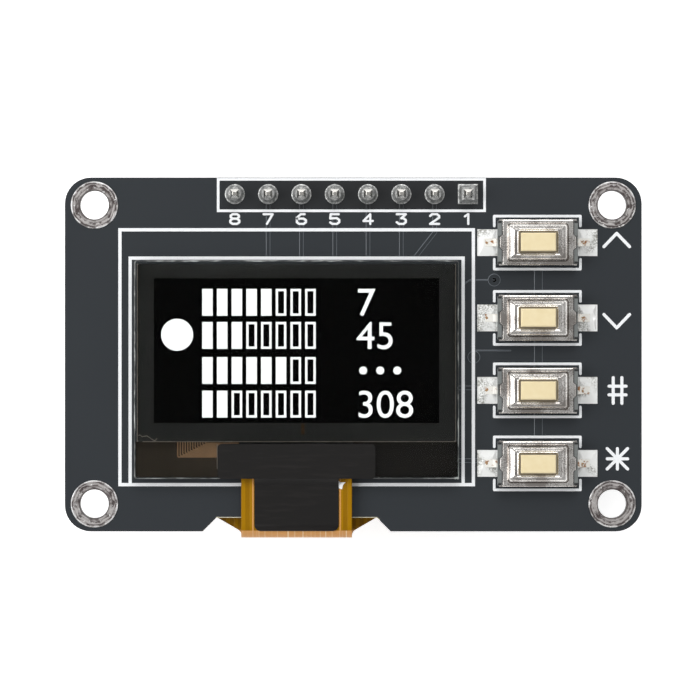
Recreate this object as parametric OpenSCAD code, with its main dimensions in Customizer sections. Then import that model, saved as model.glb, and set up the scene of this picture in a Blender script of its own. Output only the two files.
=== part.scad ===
// Small OLED display module with four push switches, on one circuit board.
//
// Frame: X runs along the board, Y towards the pin header, Z out of the screen.
// The origin is the middle of the four mounting holes, on the board's rear face.

/* [Board] */
// Thickness of the board
board_t = 1.2; // [1:0.1:1.6]
// Radius of the board's corners
corner_r = 2.0; // [1:0.1:3]
// Board left of the display's printed frame
left_margin = 4.2; // [4.2:0.1:8]
// Board right of the switches' lands
right_margin = 3.38; // [3:0.01:6]
// Board below the display's printed frame
bottom_margin = 3.57; // [3.2:0.01:6]
// Room for the pin numbers, between the header's outline and the display's printed frame
label_band = 1.45; // [1.2:0.05:3]
// Height of the tinned copper above the board's faces
land_t = 0.05; // [0.03:0.01:0.1]

/* [Mounting holes] */
// Bore of each plated mounting hole
hole_d = 2.2; // [2:0.1:2.6]
// Outer diameter of the ring round each hole
ring_d = 3.6; // [3.2:0.1:4]
// Hole's middle from the board's left and right edges
hole_inset_x = 2.25; // [2.1:0.05:3]
// Hole's middle from the board's top and bottom edges
hole_inset_y = 2.1; // [2.1:0.05:3]

/* [Display panel] */
// Width of the picture
picture_w = 21.7; // [18:0.1:26]
// Height of the picture
picture_d = 11.0; // [9:0.1:14]
// Polarizer beyond the picture, at its sides, foot and top
picture_side = 1.22; // [0.9:0.01:2]
picture_foot = 1.39; // [0.9:0.01:2]
picture_head = 1.08; // [0.9:0.01:2]
// Bare glass round the polarizer, at its sides and top
polarizer_inset = 0.28; // [0.1:0.01:0.5]
// Bare glass ledge below the polarizer, where the driver chip sits
ledge_d = 2.85; // [2.6:0.05:3.2]
// Thickness of the front glass
front_glass_t = 0.5; // [0.3:0.05:0.8]
// Thickness of the rear glass, which seals the light-emitting films in
rear_glass_t = 0.5; // [0.4:0.05:0.8]
// Height of the sealed gap between the two glasses
seal_gap = 0.05; // [0.03:0.01:0.1]
// Width of the seal between the two glasses
seal_w = 0.5; // [0.3:0.05:0.7]
// Thickness of the polarizer film
polarizer_t = 0.2; // [0.1:0.05:0.3]
// Thickness of the double-sided pad under the panel
pad_t = 0.15; // [0.1:0.05:0.5]
// Rear glass left bare round the pad
pad_inset = 1.0; // [0.5:0.1:3]
// Width of the driver chip
driver_w = 7.0; // [5:0.1:9]
// Depth of the driver chip
driver_d = 0.9; // [0.7:0.05:1]
// Height of the driver chip
driver_h = 0.28; // [0.2:0.01:0.35]

/* [Flexible tail] */
// Width of the tail's neck
flex_w = 8.44; // [7:0.01:10]
// Thickness of the tail
flex_t = 0.1; // [0.08:0.01:0.15]
// Width of the tail's head, which is bonded under the ledge
flex_head_w = 11.6; // [10.5:0.1:13]
// Depth of the bonded head
flex_bond = 0.9; // [0.7:0.05:1.1]
// Board left open in the notch on each side of the neck
notch_side_gap = 1.91; // [1:0.01:3]
// Depth of the notch in the board's bottom edge
notch_d = 1.04; // [0.5:0.01:1.5]
// Tail's straight run past the notch, before it bends
bend_lead = 0.5; // [0.2:0.05:1]
// Number of soldered fingers
finger_count = 30; // [24:2:30]
// Pitch of the fingers
finger_pitch = 0.62; // [0.55:0.01:0.65]
// Width of each finger
finger_w = 0.35; // [0.25:0.01:0.45]
// Length of each finger
finger_l = 1.6; // [1:0.1:2]
// Film beside the outer fingers
finger_margin = 0.34; // [0.2:0.01:0.6]
// Height of the solder on a finger
finger_solder_t = 0.08; // [0.05:0.01:0.12]
// Length of the tail that lies flat on the board's rear, from the notch
flex_rear_l = 5.9; // [5.4:0.1:7]
// Angle at which the neck widens into the fan of fingers
fan_angle = 60; // [50:1:65]
// Radius between the neck and the fan
fan_r = 0.5; // [0.3:0.05:0.8]
// Where the neck begins to widen, short of the bend's outermost point
fan_lead = 0.13; // [0.1:0.01:0.5]

/* [Shield tape] */
// Thickness of the dark tape
tape_t = 0.06; // [0.04:0.01:0.1]
// Width of the tape on the ledge
tape_w = 12.0; // [10:0.1:14]
// Width of the tape on the neck
tape_neck_w = 6.42; // [5:0.01:6.8]
// Bare glass between the polarizer and the tape
tape_gap = 0.2; // [0.1:0.05:0.5]
// Length of the tape's slope from the glass down to the neck
tape_slope = 0.5; // [0.4:0.05:1]
// How far round the bend the tape reaches, in degrees
tape_wrap = 28; // [28:1:60]
// Corner radius of the tape on the ledge
tape_r = 0.3; // [0.1:0.05:0.8]
// Corner radius of the tape's end
tape_end_r = 0.5; // [0.2:0.05:0.8]

/* [Pin header] */
// Number of pins
pin_count = 8; // [4:1:8]
// Pitch of the pins
pin_pitch = 2.54; // [2.4:0.01:2.6]
// Width of the square pins
pin_w = 0.64; // [0.5:0.01:0.65]
// Length of a pin beyond the plastic
pin_long_l = 6.0; // [4:0.1:9]
// Length of a pin from the plastic up through the board
pin_short_l = 3.0; // [2.9:0.1:3.5]
// Width of a pin's blunt tip
pin_tip_w = 0.3; // [0.2:0.01:0.4]
// Length of the taper to a pin's tip
pin_taper_l = 0.45; // [0.3:0.05:0.6]
// Height of the header's plastic
strip_h = 2.54; // [2:0.01:3]
// Chamfer between the header's ways
strip_chamfer = 0.5; // [0.3:0.05:0.6]
// Finished bore for a pin
pin_hole_d = 1.0; // [0.98:0.01:1.1]
// Width of a pin's land
pin_land_d = 1.52; // [1.4:0.01:1.7]
// Height of a pin's solder
cone_h = 0.95; // [0.6:0.05:1.2]
// Wall of solder round the pin at the top
cone_wall = 0.03; // [0.02:0.01:0.06]
// Room between the header's printed outline and the upper switch's
header_gap = 0.64; // [0.5:0.01:2]

/* [Switch places] */
// Room between the display's printed frame and the switches' lands
switch_gap = 0.3; // [0.3:0.05:2]
// Length over a switch's two lands
land_span = 9.16; // [8.9:0.01:10]
// Width of a switch's land
land_d = 2.04; // [1.5:0.01:2.4]
// Land covered by the switch's base
land_tuck = 0.25; // [0.1:0.05:0.5]
// First and last switch's middles from the upper and lower mounting holes
switch_inset = [2.87, 3.09]; // [2.6:0.01:3.5]
// How far each switch was placed above its even row
switch_nudge = [0, -0.13, -0.04, 0]; // [-0.2:0.01:0.2]

/* [Switch base] */
// Length of the base
base_w = 6.1; // [5.8:0.05:6.5]
// Width of the base
base_d = 3.35; // [3.3:0.05:3.45]
// Height of the base
base_h = 1.2; // [1.15:0.01:1.5]
// Height of the floor under the snap dome
floor_h = 0.5; // [0.45:0.01:0.55]
// Room round the dome in the base
dome_room = 0.08; // [0.05:0.01:0.15]
// Room round the plunger's lip in the base
lip_room = 0.08; // [0.05:0.01:0.15]
// Room round the cover's skirts and tabs in the base
cover_room = 0.03; // [0.01:0.01:0.05]

/* [Switch cover] */
// Thickness of the cover's sheet
sheet_t = 0.12; // [0.08:0.01:0.14]
// Length of the cover's rim
cover_w = 5.4; // [5.3:0.05:5.6]
// Width of the cover's rim
cover_d = 3.52; // [3.5:0.01:3.8]
// Depth of the cover's skirts and tabs below its rim
skirt_h = 0.6; // [0.3:0.05:0.9]
// Reach of the long skirts beyond the rim's ends
skirt_out = 0.26; // [0.05:0.01:0.3]
// Drop of the long skirts' ends below the rim
skirt_drop = 0.1; // [0.05:0.01:0.2]
// Reach of a tab beyond the rim
tab_out = 0.2; // [0.15:0.01:0.2]
// Width of a tab
tab_w = 0.85; // [0.7:0.01:1.2]
// Widening of a tab where it meets the rim
tab_flare = 0.16; // [0.1:0.01:0.25]
// Foot of the cover's raised frame, along X and Y
raised_foot = [4.6, 2.8]; // [2.7:0.01:4.8]
// Top of the cover's raised frame, along X and Y
raised_top = [3.65, 2.0]; // [1.95:0.01:3.8]
// Height of the raised frame above the rim
raised_h = 0.58; // [0.5:0.01:0.8]
// Corner radius of the opening
opening_r = 0.15; // [0.1:0.01:0.3]

/* [Switch plunger] */
// Length of the plunger
plunger_w = 2.65; // [2.4:0.01:2.8]
// Width of the plunger
plunger_d = 1.38; // [1.3:0.01:1.42]
// Height of the plunger's top above the board
plunger_top = 2.5; // [2.4:0.05:4]
// Bevel round the plunger's top
plunger_bevel = 0.08; // [0.05:0.01:0.2]
// Running gap round the plunger in the opening
plunger_gap = 0.11; // [0.08:0.01:0.13]
// Plunger's lip beyond the opening, along X and Y
lip_out = [0.14, 0.05]; // [0.04:0.01:0.15]
// Radius of the nub that presses the dome
nub_r = 0.45; // [0.3:0.05:0.6]
// Gap over the lip and under the nub at rest
rest_gap = 0.02; // [0.01:0.01:0.03]
// Travel of the plunger
travel = 0.25; // [0.15:0.01:0.26]

/* [Switch contacts] */
// Radius of the snap dome
dome_r = 1.1; // [1:0.05:1.2]
// Height of the snap dome
dome_h = 0.3; // [0.29:0.01:0.32]
// Thickness of the snap dome
dome_t = 0.06; // [0.04:0.01:0.08]
// Thickness of the contact strips
strip_t = 0.12; // [0.1:0.01:0.15]
// Width of the contact strips
strip_w = 0.6; // [0.4:0.01:0.7]
// Height of the contact studs above their strips
stud_h = 0.13; // [0.1:0.01:0.15]
// Width of the contact studs
stud_w = 0.3; // [0.2:0.01:0.4]
// Reach of the strips' feet from the switch's middle
foot_reach = 4.0; // [3.8:0.05:4.3]
// Length of the strips' slope outside the base
strip_slope = 0.18; // [0.1:0.01:0.3]
// Level stretch of the strips outside the base
strip_lead = 0.07; // [0.05:0.01:0.15]

/* [Print] */
// Width of a printed line round the display
line_w = 0.25; // [0.15:0.01:0.28]
// Width of a printed line round the header and the switches
outline_w = 0.2; // [0.15:0.01:0.28]
// Bare board above the header's outline
edge_room = 0.04; // [0.03:0.01:0.1]
// Thickness of the print
ink_t = 0.03; // [0.02:0.01:0.05]
// Near and far printed frames, beyond the panel's sides
frame_gap = [0.35, 1.13]; // [0.3:0.01:2]
// Near and far printed frames, above the panel
frame_rise = [0.2, 2.36]; // [0.2:0.01:3]
// Printed frames' shared foot, below the panel
frame_drop = 0.48; // [0.3:0.01:1]
// Printed outline of a switch, along X and Y
switch_print = [6.77, 4.24]; // [4.2:0.01:7]
// Room between a switch's outline and its lands
print_gap = 0.15; // [0.1:0.01:0.3]

/* [Rear parts] */
// Length, width and height of a capacitor
cap_size = [1.6, 0.8, 0.8]; // [0.5:0.05:2]
// Length, width and height of a resistor
res_size = [1.6, 0.8, 0.45]; // [0.4:0.05:2]
// Number of capacitors, and of resistors
small_count = 6; // [4:1:7]
// Length of a small part's metal ends
end_l = 0.35; // [0.2:0.05:0.4]
// Reach of the solder beyond a small part's ends
fillet_l = 0.3; // [0.1:0.05:0.4]
// Pitch of the small parts along their rows
part_pitch = 2.0; // [1.7:0.1:2.2]
// Room between the rows of small parts
row_gap = 1.1; // [0.9:0.1:1.5]
// Length, width and height of the regulator
reg_size = [2.9, 1.3, 1.1]; // [1:0.1:3.2]
// Length, width and height of the diode
diode_size = [1.7, 1.25, 0.95]; // [0.9:0.05:2]
// Thickness of the rear parts' legs
leg_t = 0.12; // [0.1:0.01:0.2]
// Width of the rear parts' legs
leg_w = 0.4; // [0.3:0.05:0.5]
// Level stretch, slope and foot of a leg, outwards from the body
leg_run = [0.25, 0.1, 0.35]; // [0.05:0.05:0.5]
// Distance between the regulator's paired legs
leg_span = 1.9; // [1.8:0.05:2]
// Land left bare round a leg's foot or a small part's end
land_margin = 0.12; // [0.05:0.01:0.2]
// Gap under the regulator's and the diode's bodies
body_lift = 0.05; // [0.03:0.01:0.1]
// Narrowing of those bodies from the waist to their faces
body_draft = 0.1; // [0.05:0.01:0.15]

/* [Hidden] */
$fn = 48;
switch_count = 4;
cut = 1;
fuse = 0.01;

// Display, from the picture outwards.
sealed_w = picture_w + 2 * picture_side;
sealed_d = picture_d + picture_foot + picture_head;
panel_w = sealed_w + 2 * polarizer_inset;
panel_d = sealed_d + polarizer_inset + ledge_d;

// The board's outline comes from what it carries, from left to right and from top to bottom.
frame_w = panel_w + 2 * frame_gap[1];
board_w = left_margin + frame_w + switch_gap + land_span + right_margin;
board_d = pin_pitch + label_band + frame_rise[1] + panel_d + frame_drop + bottom_margin;
hole_x = board_w / 2 - hole_inset_x;
hole_y = board_d / 2 - hole_inset_y;

// Where the display lies, from the board's left and top edges.
panel_x = -board_w / 2 + left_margin + frame_w / 2;
panel_top = board_d / 2 - pin_pitch - label_band - frame_rise[1];
panel_foot = panel_top - panel_d;
ledge_top = panel_foot + ledge_d;
sealed_y = ledge_top + sealed_d / 2;
picture_y = ledge_top + picture_foot + picture_d / 2;
driver_y = (ledge_top + panel_foot + flex_bond) / 2;

// Levels, from the board's rear face up.
pad_z = board_t;
rear_glass_z = pad_z + pad_t;
seal_z = rear_glass_z + rear_glass_t;
front_glass_z = seal_z + seal_gap;
polarizer_z = front_glass_z + front_glass_t;

// Tail: the bend joins the level under the front glass to the lands on the rear.
notch_y = -board_d / 2 + notch_d;
notch_w = flex_w + 2 * notch_side_gap;
bend_y = notch_y - bend_lead;
flex_rear_z = -land_t - flex_t;
bend_r = (front_glass_z - flex_rear_z) / 2;
bend_z = (front_glass_z + flex_rear_z) / 2;
fan_y = bend_y - bend_r + fan_lead;
fan_w = (finger_count - 1) * finger_pitch + finger_w + 2 * finger_margin;
flex_end_y = notch_y + flex_rear_l;
finger_y = flex_end_y - finger_l / 2;

// Switches, in one column between the right-hand mounting holes.
switch_x = board_w / 2 - right_margin - land_span / 2;
switch_top_y = hole_y - switch_inset[0];
switch_step = (2 * hole_y - switch_inset[0] - switch_inset[1]) / (switch_count - 1);
land_l = (land_span - base_w) / 2 + land_tuck;

// Header, left of the switches and along the board's top edge.
header_l = pin_count * pin_pitch;
header_x = switch_x - switch_print[0] / 2 - header_gap - header_l / 2;
header_y = board_d / 2 - pin_pitch / 2;
pin_top_z = -land_t + pin_short_l;
pin_foot_z = -land_t - strip_h - pin_long_l;

// Inside a switch: sizes and levels above its lands.
opening = [plunger_w + 2 * plunger_gap, plunger_d + 2 * plunger_gap];
lip = opening + 2 * lip_out;
rim_z = base_h + sheet_t;
raised_z = rim_z + raised_h;
lip_z = base_h + rest_gap;
lip_top_z = raised_z - sheet_t - rest_gap;
pocket_z = lip_z - travel - rest_gap;
dome_z = floor_h + dome_h;
nub_z = dome_z + rest_gap;
stem_z = plunger_top - land_t - plunger_bevel;
strip_z = floor_h - stud_h - strip_t;
tab_reach = cover_w / 2 + tab_out;

// Small parts on the rear, in two rows beyond the tail's end, with the diode and regulator beside them.
cap_row_y = flex_end_y + row_gap + cap_size[0] / 2;
res_row_y = cap_row_y + cap_size[0] / 2 + row_gap + res_size[0] / 2;
beside_y = (cap_row_y + res_row_y) / 2;
row_half = part_pitch * (small_count - 1) / 2 + cap_size[1] / 2 + row_gap;
leg_reach = leg_run[0] + leg_run[1] + leg_run[2];
reg_x = panel_x + row_half + reg_size[1] / 2 + leg_reach;
diode_x = panel_x - row_half - diode_size[1] / 2;

function pin_x(i) = header_x + ((pin_count + 1) / 2 - i) * pin_pitch;
function switch_y(i) = switch_top_y - (i - 1) * switch_step + switch_nudge[i - 1];
function finger_x(f) = panel_x + (f - (finger_count - 1) / 2) * finger_pitch;
function row_x(i) = panel_x + (i - (small_count - 1) / 2) * part_pitch;

// ---------- shapes that several parts share ----------

// A block centred on X and Y, standing on z.
module plate(w, d, t, z = 0) translate([-w / 2, -d / 2, z]) cube([w, d, t]);

module rounded(w, d, r) {
    square([w - 2 * r, d], center = true);
    square([w, d - 2 * r], center = true);
    for (x = [-1, 1], y = [-1, 1]) translate([x * (w / 2 - r), y * (d / 2 - r)]) circle(r);
}

// Extrudes an X-Z outline along Y, or a Y-Z outline along X, both centred.
module along_y(length) translate([0, length / 2, 0]) rotate([90, 0, 0]) linear_extrude(length) children();
module along_x(length) translate([-length / 2, 0, 0]) rotate([90, 0, 90]) linear_extrude(length) children();

module trapezoid(foot, top, h) polygon([[-foot / 2, 0], [foot / 2, 0], [top / 2, h], [-top / 2, h]]);

// A flat-sided block that narrows from its foot to its top, each given as [x, y].
module frustum(foot, top, h) intersection() {
    along_y(foot[1]) trapezoid(foot[0], top[0], h);
    along_x(foot[0]) trapezoid(foot[1], top[1], h);
}

module at_switch(i) translate([switch_x, switch_y(i), board_t + land_t]) children();

// Turns what stands on z = 0 over, onto the lands on the board's rear.
module on_rear(x, y) translate([x, y, -land_t]) rotate([180, 0, 90]) children();

// A plated hole: a barrel through the board, with a land on each face.
module eyelet(bore_d, land_w, square_land = false) difference() {
    union() {
        translate([0, 0, -land_t]) cylinder(d = bore_d + 2 * land_t, h = board_t + 2 * land_t);
        for (z = [-land_t, board_t]) {
            if (square_land) plate(land_w, land_w, land_t, z);
            if (!square_land) translate([0, 0, z]) cylinder(d = land_w, h = land_t);
        }
    }
    translate([0, 0, -cut]) cylinder(d = bore_d, h = board_t + 2 * cut);
}

// ---------- board ----------

module each_hole() for (x = [-1, 1], y = [-1, 1]) translate([x * hole_x, y * hole_y, 0]) children();

module notch_outline() translate([panel_x, notch_y])
    polygon([[-notch_w / 2, 0], [-notch_w / 2 - notch_d - cut, -notch_d - cut],
             [notch_w / 2 + notch_d + cut, -notch_d - cut], [notch_w / 2, 0]]);

module board() color([0.21, 0.23, 0.25]) difference() {
    linear_extrude(board_t) difference() {
        rounded(board_w, board_d, corner_r);
        notch_outline();
    }
    each_hole() translate([0, 0, -cut]) cylinder(d = hole_d + 2 * land_t, h = board_t + 2 * cut);
    for (i = [1:pin_count]) translate([pin_x(i), header_y, -cut])
        cylinder(d = pin_hole_d + 2 * land_t, h = board_t + 2 * cut);
}

module mounting_rings() color([0.72, 0.70, 0.68]) each_hole() eyelet(hole_d, ring_d);

module switch_lands() for (side = [-1, 1])
    translate([side * (land_span - land_l) / 2, 0, -land_t]) plate(land_l, land_d, land_t);

// Tinned copper: the header's plated holes and the lands of every soldered part.
module lands() color([0.80, 0.80, 0.79]) {
    for (i = [1:pin_count]) translate([pin_x(i), header_y, 0])
        eyelet(pin_hole_d, pin_land_d, square_land = i == 1);
    for (i = [1:switch_count]) at_switch(i) switch_lands();
    for (f = [0:finger_count - 1]) translate([finger_x(f), finger_y, -land_t])
        plate(finger_w, finger_l + 2 * land_margin, land_t);
    each_capacitor() small_part_lands(cap_size);
    each_resistor() small_part_lands(res_size);
    on_rear(reg_x, beside_y) each_regulator_leg() leg_land(reg_size[1] / 2);
    on_rear(diode_x, beside_y) each_diode_leg() leg_land(diode_size[0] / 2);
}

// ---------- print ----------

// A printed line from a to b, with round ends.
module stroke(a, b) translate([a[0], a[1], board_t])
    rotate([0, 0, atan2(b[1] - a[1], b[0] - a[0])]) {
        length = norm(b - a);
        translate([0, -outline_w / 2, 0]) cube([length, outline_w, ink_t]);
        for (x = [0, length]) translate([x, 0, 0]) cylinder(d = outline_w, h = ink_t);
    }

// A printed frame: the middle of its line runs from x0 to x1 and from y0 to y1.
module print_frame(x0, x1, y0, y1, w) translate([(x0 + x1) / 2, (y0 + y1) / 2, board_t]) difference() {
    plate(x1 - x0 + w, y1 - y0 + w, ink_t);
    plate(x1 - x0 - w, y1 - y0 - w, ink_t + 2 * cut, -cut);
}

// One half of a switch's outline. Its legs stop short of the lands.
module print_bracket(side) {
    x = (switch_print[0] - outline_w) / 2;
    y = side * (switch_print[1] - outline_w) / 2;
    leg_y = side * (land_d + outline_w) / 2 + side * print_gap;
    stroke([-x, y], [x, y]);
    for (end = [-x, x]) stroke([end, y], [end, leg_y]);
}

module silkscreen() color([0.94, 0.95, 0.96]) {
    print_frame(header_x - header_l / 2, header_x + header_l / 2,
                board_d / 2 - pin_pitch, (board_d - outline_w) / 2 - edge_room, outline_w);
    for (k = [0, 1])
        print_frame(panel_x - panel_w / 2 - frame_gap[k], panel_x + panel_w / 2 + frame_gap[k],
                    panel_foot - frame_drop, panel_top + frame_rise[k], line_w);
    for (i = [1:switch_count], side = [-1, 1]) translate([switch_x, switch_y(i), 0]) print_bracket(side);
}

// ---------- display panel ----------

module adhesive_pad() color([0.92, 0.92, 0.90]) translate([panel_x, sealed_y, pad_z])
    plate(sealed_w - 2 * pad_inset, sealed_d - 2 * pad_inset, pad_t);

module rear_glass() color([0.30, 0.32, 0.33]) translate([panel_x, sealed_y, rear_glass_z])
    plate(sealed_w, sealed_d, rear_glass_t);

module seal_frame() color([0.25, 0.25, 0.24]) translate([panel_x, sealed_y, seal_z]) difference() {
    plate(sealed_w, sealed_d, seal_gap);
    plate(sealed_w - 2 * seal_w, sealed_d - 2 * seal_w, seal_gap + 2 * cut, -cut);
}

module pixel_layer() color([0.02, 0.02, 0.02]) translate([panel_x, picture_y, seal_z])
    plate(picture_w, picture_d, seal_gap);

module front_glass() color([0.20, 0.19, 0.18]) translate([panel_x, panel_foot + panel_d / 2, front_glass_z])
    plate(panel_w, panel_d, front_glass_t);

module polarizer() color([0.13, 0.14, 0.14]) translate([panel_x, sealed_y, polarizer_z])
    plate(sealed_w, sealed_d, polarizer_t);

module driver_chip() color([0.15, 0.15, 0.16]) translate([panel_x, driver_y, front_glass_z - driver_h])
    plate(driver_w, driver_d, driver_h);

// ---------- flexible tail ----------

// Right half of the tail's outline: the neck, an arc, the fan's side and the fingers' end.
function fan_half() =
    let (arc = [for (k = [0:4]) let (a = fan_angle * k / 4)
                   [flex_w / 2 + fan_r * (1 - cos(a)), fan_y + fan_r * sin(a)]],
         last = arc[4])
    concat([[flex_w / 2, fan_y - bend_r]], arc,
           [[fan_w / 2, last[1] + (fan_w / 2 - last[0]) / tan(fan_angle)], [fan_w / 2, flex_end_y]]);

// Gives a half outline its mirror image, so that the two close into one loop.
function both_halves(half) = concat(half, [for (k = [len(half) - 1:-1:0]) [-half[k][0], half[k][1]]]);

// A strip bent round the tail's bend. Its ends are angles: 0 is straight out and 180 is the rear.
module bent_strip(w, inner_r, t, from, to) translate([-w / 2, bend_y, bend_z]) rotate([90, 0, 90])
    rotate([0, 0, 90 + from]) rotate_extrude(angle = to - from) translate([inner_r, 0]) square([t, w]);

module flex_tail() color([0.66, 0.47, 0.08]) translate([panel_x, 0, 0]) {
    level_z = front_glass_z - flex_t;
    translate([0, panel_foot + flex_bond / 2, level_z]) plate(flex_head_w, flex_bond, flex_t);
    translate([-flex_w / 2, bend_y, level_z]) cube([flex_w, panel_foot - bend_y + fuse, flex_t]);
    bent_strip(flex_w, bend_r - flex_t, flex_t, 0, 90);
    intersection() {
        translate([0, 0, flex_rear_z - cut]) linear_extrude(bend_r + 2 * cut) polygon(both_halves(fan_half()));
        union() {
            bent_strip(fan_w + cut, bend_r - flex_t, flex_t, 90, 180);
            translate([0, (bend_y + flex_end_y + cut) / 2, flex_rear_z])
                plate(fan_w + cut, flex_end_y + cut - bend_y, flex_t);
        }
    }
}

module flex_solder() color([0.78, 0.78, 0.77])
    for (f = [0:finger_count - 1]) translate([finger_x(f), finger_y, flex_rear_z]) rotate([180, 0, 0])
        frustum([finger_w, finger_l], [finger_w / 2, finger_l - finger_w / 2], finger_solder_t);

// A wide piece on the ledge, and a narrow one that slopes off the glass and follows the neck.
module shield_tape() color([0.15, 0.14, 0.14]) translate([panel_x, 0, 0]) {
    tape_l = ledge_d - tape_gap;
    slope_y = panel_foot - tape_slope;
    end_y = bend_y - (bend_r + tape_t / 2) * sin(tape_wrap);
    neck_l = panel_foot - end_y;
    translate([0, panel_foot + tape_l / 2, polarizer_z]) linear_extrude(tape_t) rounded(tape_w, tape_l, tape_r);
    intersection() {
        translate([0, end_y + neck_l, bend_z]) linear_extrude(2 * bend_r)
            rounded(tape_neck_w, 2 * neck_l, tape_end_r);
        union() {
            along_x(tape_neck_w + cut)
                polygon([[panel_foot + tape_slope, polarizer_z], [panel_foot, polarizer_z],
                         [slope_y, front_glass_z], [bend_y, front_glass_z],
                         [bend_y, front_glass_z + tape_t], [slope_y, front_glass_z + tape_t],
                         [panel_foot, polarizer_z + tape_t], [panel_foot + tape_slope, polarizer_z + tape_t]]);
            bent_strip(tape_neck_w + cut, bend_r, tape_t, 0, tape_wrap);
        }
    }
}

// ---------- pin header ----------

// Outline of the plastic: a row of ways with chamfered joints.
module strip_outline() {
    far = [for (i = [0:pin_count - 1], p = [[0, strip_chamfer], [strip_chamfer, 0], [pin_pitch - strip_chamfer, 0]])
        [(i - pin_count / 2) * pin_pitch + p[0], pin_pitch / 2 - p[1]]];
    near = [for (k = [len(far) - 1:-1:0]) -far[len(far) - 1 - k]];
    polygon(concat(far, near));
}

module header_strip() color([0.08, 0.08, 0.08]) difference() {
    translate([header_x, header_y, -land_t - strip_h]) linear_extrude(strip_h) strip_outline();
    for (i = [1:pin_count]) translate([pin_x(i), header_y, 0])
        plate(pin_w, pin_w, strip_h + 2 * cut, -land_t - strip_h - cut);
}

// A square bar that tapers to a blunt tip at each end.
module header_pin(i) color([0.83, 0.80, 0.72]) translate([pin_x(i), header_y, 0]) {
    side = pin_w / 2;
    tip = pin_tip_w / 2;
    half = [[tip, pin_foot_z], [side, pin_foot_z + pin_taper_l], [side, pin_top_z - pin_taper_l], [tip, pin_top_z]];
    intersection() {
        along_y(pin_w) polygon(both_halves(half));
        along_x(pin_w) polygon(both_halves(half));
    }
}

// Solder round a pin: hollow-sided from the land's edge up to the pin, and down through the hole.
module pin_solder(square_land) {
    land_r = pin_land_d / 2;
    top_r = pin_w * sqrt(2) / 2 + cone_wall;
    half = [for (k = [0:6]) [top_r + (land_r - top_r) * (1 - sin(15 * k)), cone_h * (1 - cos(15 * k))]];
    difference() {
        union() {
            if (square_land) intersection() {
                along_y(pin_land_d) polygon(both_halves(half));
                along_x(pin_land_d) polygon(both_halves(half));
            }
            if (!square_land) rotate_extrude() polygon(concat([[0, 0]], half, [[0, cone_h]]));
            translate([0, 0, -board_t - 2 * land_t]) cylinder(d = pin_hole_d, h = board_t + 2 * land_t + fuse);
        }
        plate(pin_w, pin_w, board_t + cone_h + 2 * cut, -board_t - cut);
    }
}

module header_solder() color([0.74, 0.74, 0.73])
    for (i = [1:pin_count]) translate([pin_x(i), header_y, board_t + land_t]) pin_solder(i == 1);

// ---------- switches ----------
// Each is drawn about its own middle, with z = 0 on its lands.

// A contact strip runs out of the base, slopes down to its land and ends in a flat foot.
module contact_strip(inner_x) {
    shoulder = base_w / 2 + strip_lead;
    heel = shoulder + strip_slope;
    along_y(strip_w)
        polygon([[inner_x, strip_z], [shoulder, strip_z], [heel, 0], [foot_reach, 0], [foot_reach, strip_t],
                 [heel + strip_t / 2, strip_t], [shoulder + strip_t / 2, strip_z + strip_t],
                 [inner_x, strip_z + strip_t]]);
}

// The left strip carries the dome's rim.
module left_contact() mirror([1, 0, 0]) {
    contact_strip(dome_r - stud_w);
    translate([dome_r - stud_w / 2, 0, 0]) plate(stud_w, strip_w, floor_h - strip_z, strip_z);
}

// The right strip ends in a stud below the dome's middle.
module right_contact() {
    contact_strip(-stud_w / 2);
    plate(stud_w, strip_w, floor_h - strip_z, strip_z);
}

// Moulded base, with the strips cast in, a pocket for the dome and lip, steps along its sides for the
// cover's skirts and notches for its tabs.
module switch_base(i) color([0.40, 0.42, 0.42]) at_switch(i) difference() {
    plate(base_w, base_d, base_h);
    for (side = [-1, 1]) {
        translate([0, side * (cover_d / 2 - sheet_t - cover_room + base_d / 2), 0])
            plate(base_w + 2 * cut, base_d, base_h, base_h - skirt_h - cover_room);
        translate([side * (tab_reach - sheet_t - cover_room + base_w / 2), 0, 0])
            plate(base_w, tab_w + 2 * cover_room, base_h, base_h - skirt_h - cover_room);
    }
    translate([0, 0, floor_h]) cylinder(r = dome_r + dome_room, h = base_h);
    plate(lip[0] + 2 * lip_room, lip[1] + 2 * lip_room, base_h, pocket_z);
    left_contact();
    right_contact();
}

module cover_outline() {
    root = tab_w / 2 + tab_flare;
    square([cover_w, cover_d], center = true);
    for (side = [0, 180]) rotate(side)
        polygon([[0, -root], [cover_w / 2, -root], [tab_reach, -tab_w / 2],
                 [tab_reach, tab_w / 2], [cover_w / 2, root], [0, root]]);
}

// Pressed sheet: a rim with skirts that run past its ends, end tabs, and a raised frame round the
// plunger's opening.
module switch_cover(i) color([0.78, 0.77, 0.75]) at_switch(i) difference() {
    union() {
        translate([0, 0, base_h]) linear_extrude(sheet_t) cover_outline();
        for (side = [-1, 1]) {
            translate([0, side * (cover_d - sheet_t) / 2, 0]) {
                plate(cover_w, sheet_t, skirt_h + fuse, base_h - skirt_h);
                plate(cover_w + 2 * skirt_out, sheet_t, skirt_h - skirt_drop, base_h - skirt_h);
            }
            translate([side * (tab_reach - sheet_t / 2), 0, 0])
                plate(sheet_t, tab_w, skirt_h + fuse, base_h - skirt_h);
        }
        translate([0, 0, rim_z]) frustum(raised_foot, raised_top, raised_h);
    }
    translate([0, 0, base_h]) {
        frustum(raised_foot - [1, 1] * sheet_t, raised_top - [1, 1] * sheet_t, raised_h);
        linear_extrude(raised_z) rounded(opening[0], opening[1], opening_r);
    }
}

// The plunger's lip is held under the raised frame, and its nub rests just over the dome.
module switch_plunger(i) color([0.94, 0.88, 0.70]) at_switch(i) {
    size = [plunger_w, plunger_d];
    plate(size[0], size[1], stem_z - lip_z, lip_z);
    translate([0, 0, stem_z]) frustum(size, size - [2, 2] * plunger_bevel, plunger_bevel);
    plate(lip[0], lip[1], lip_top_z - lip_z, lip_z);
    translate([0, 0, nub_z]) cylinder(r = nub_r, h = lip_z - nub_z + fuse);
}

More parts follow.
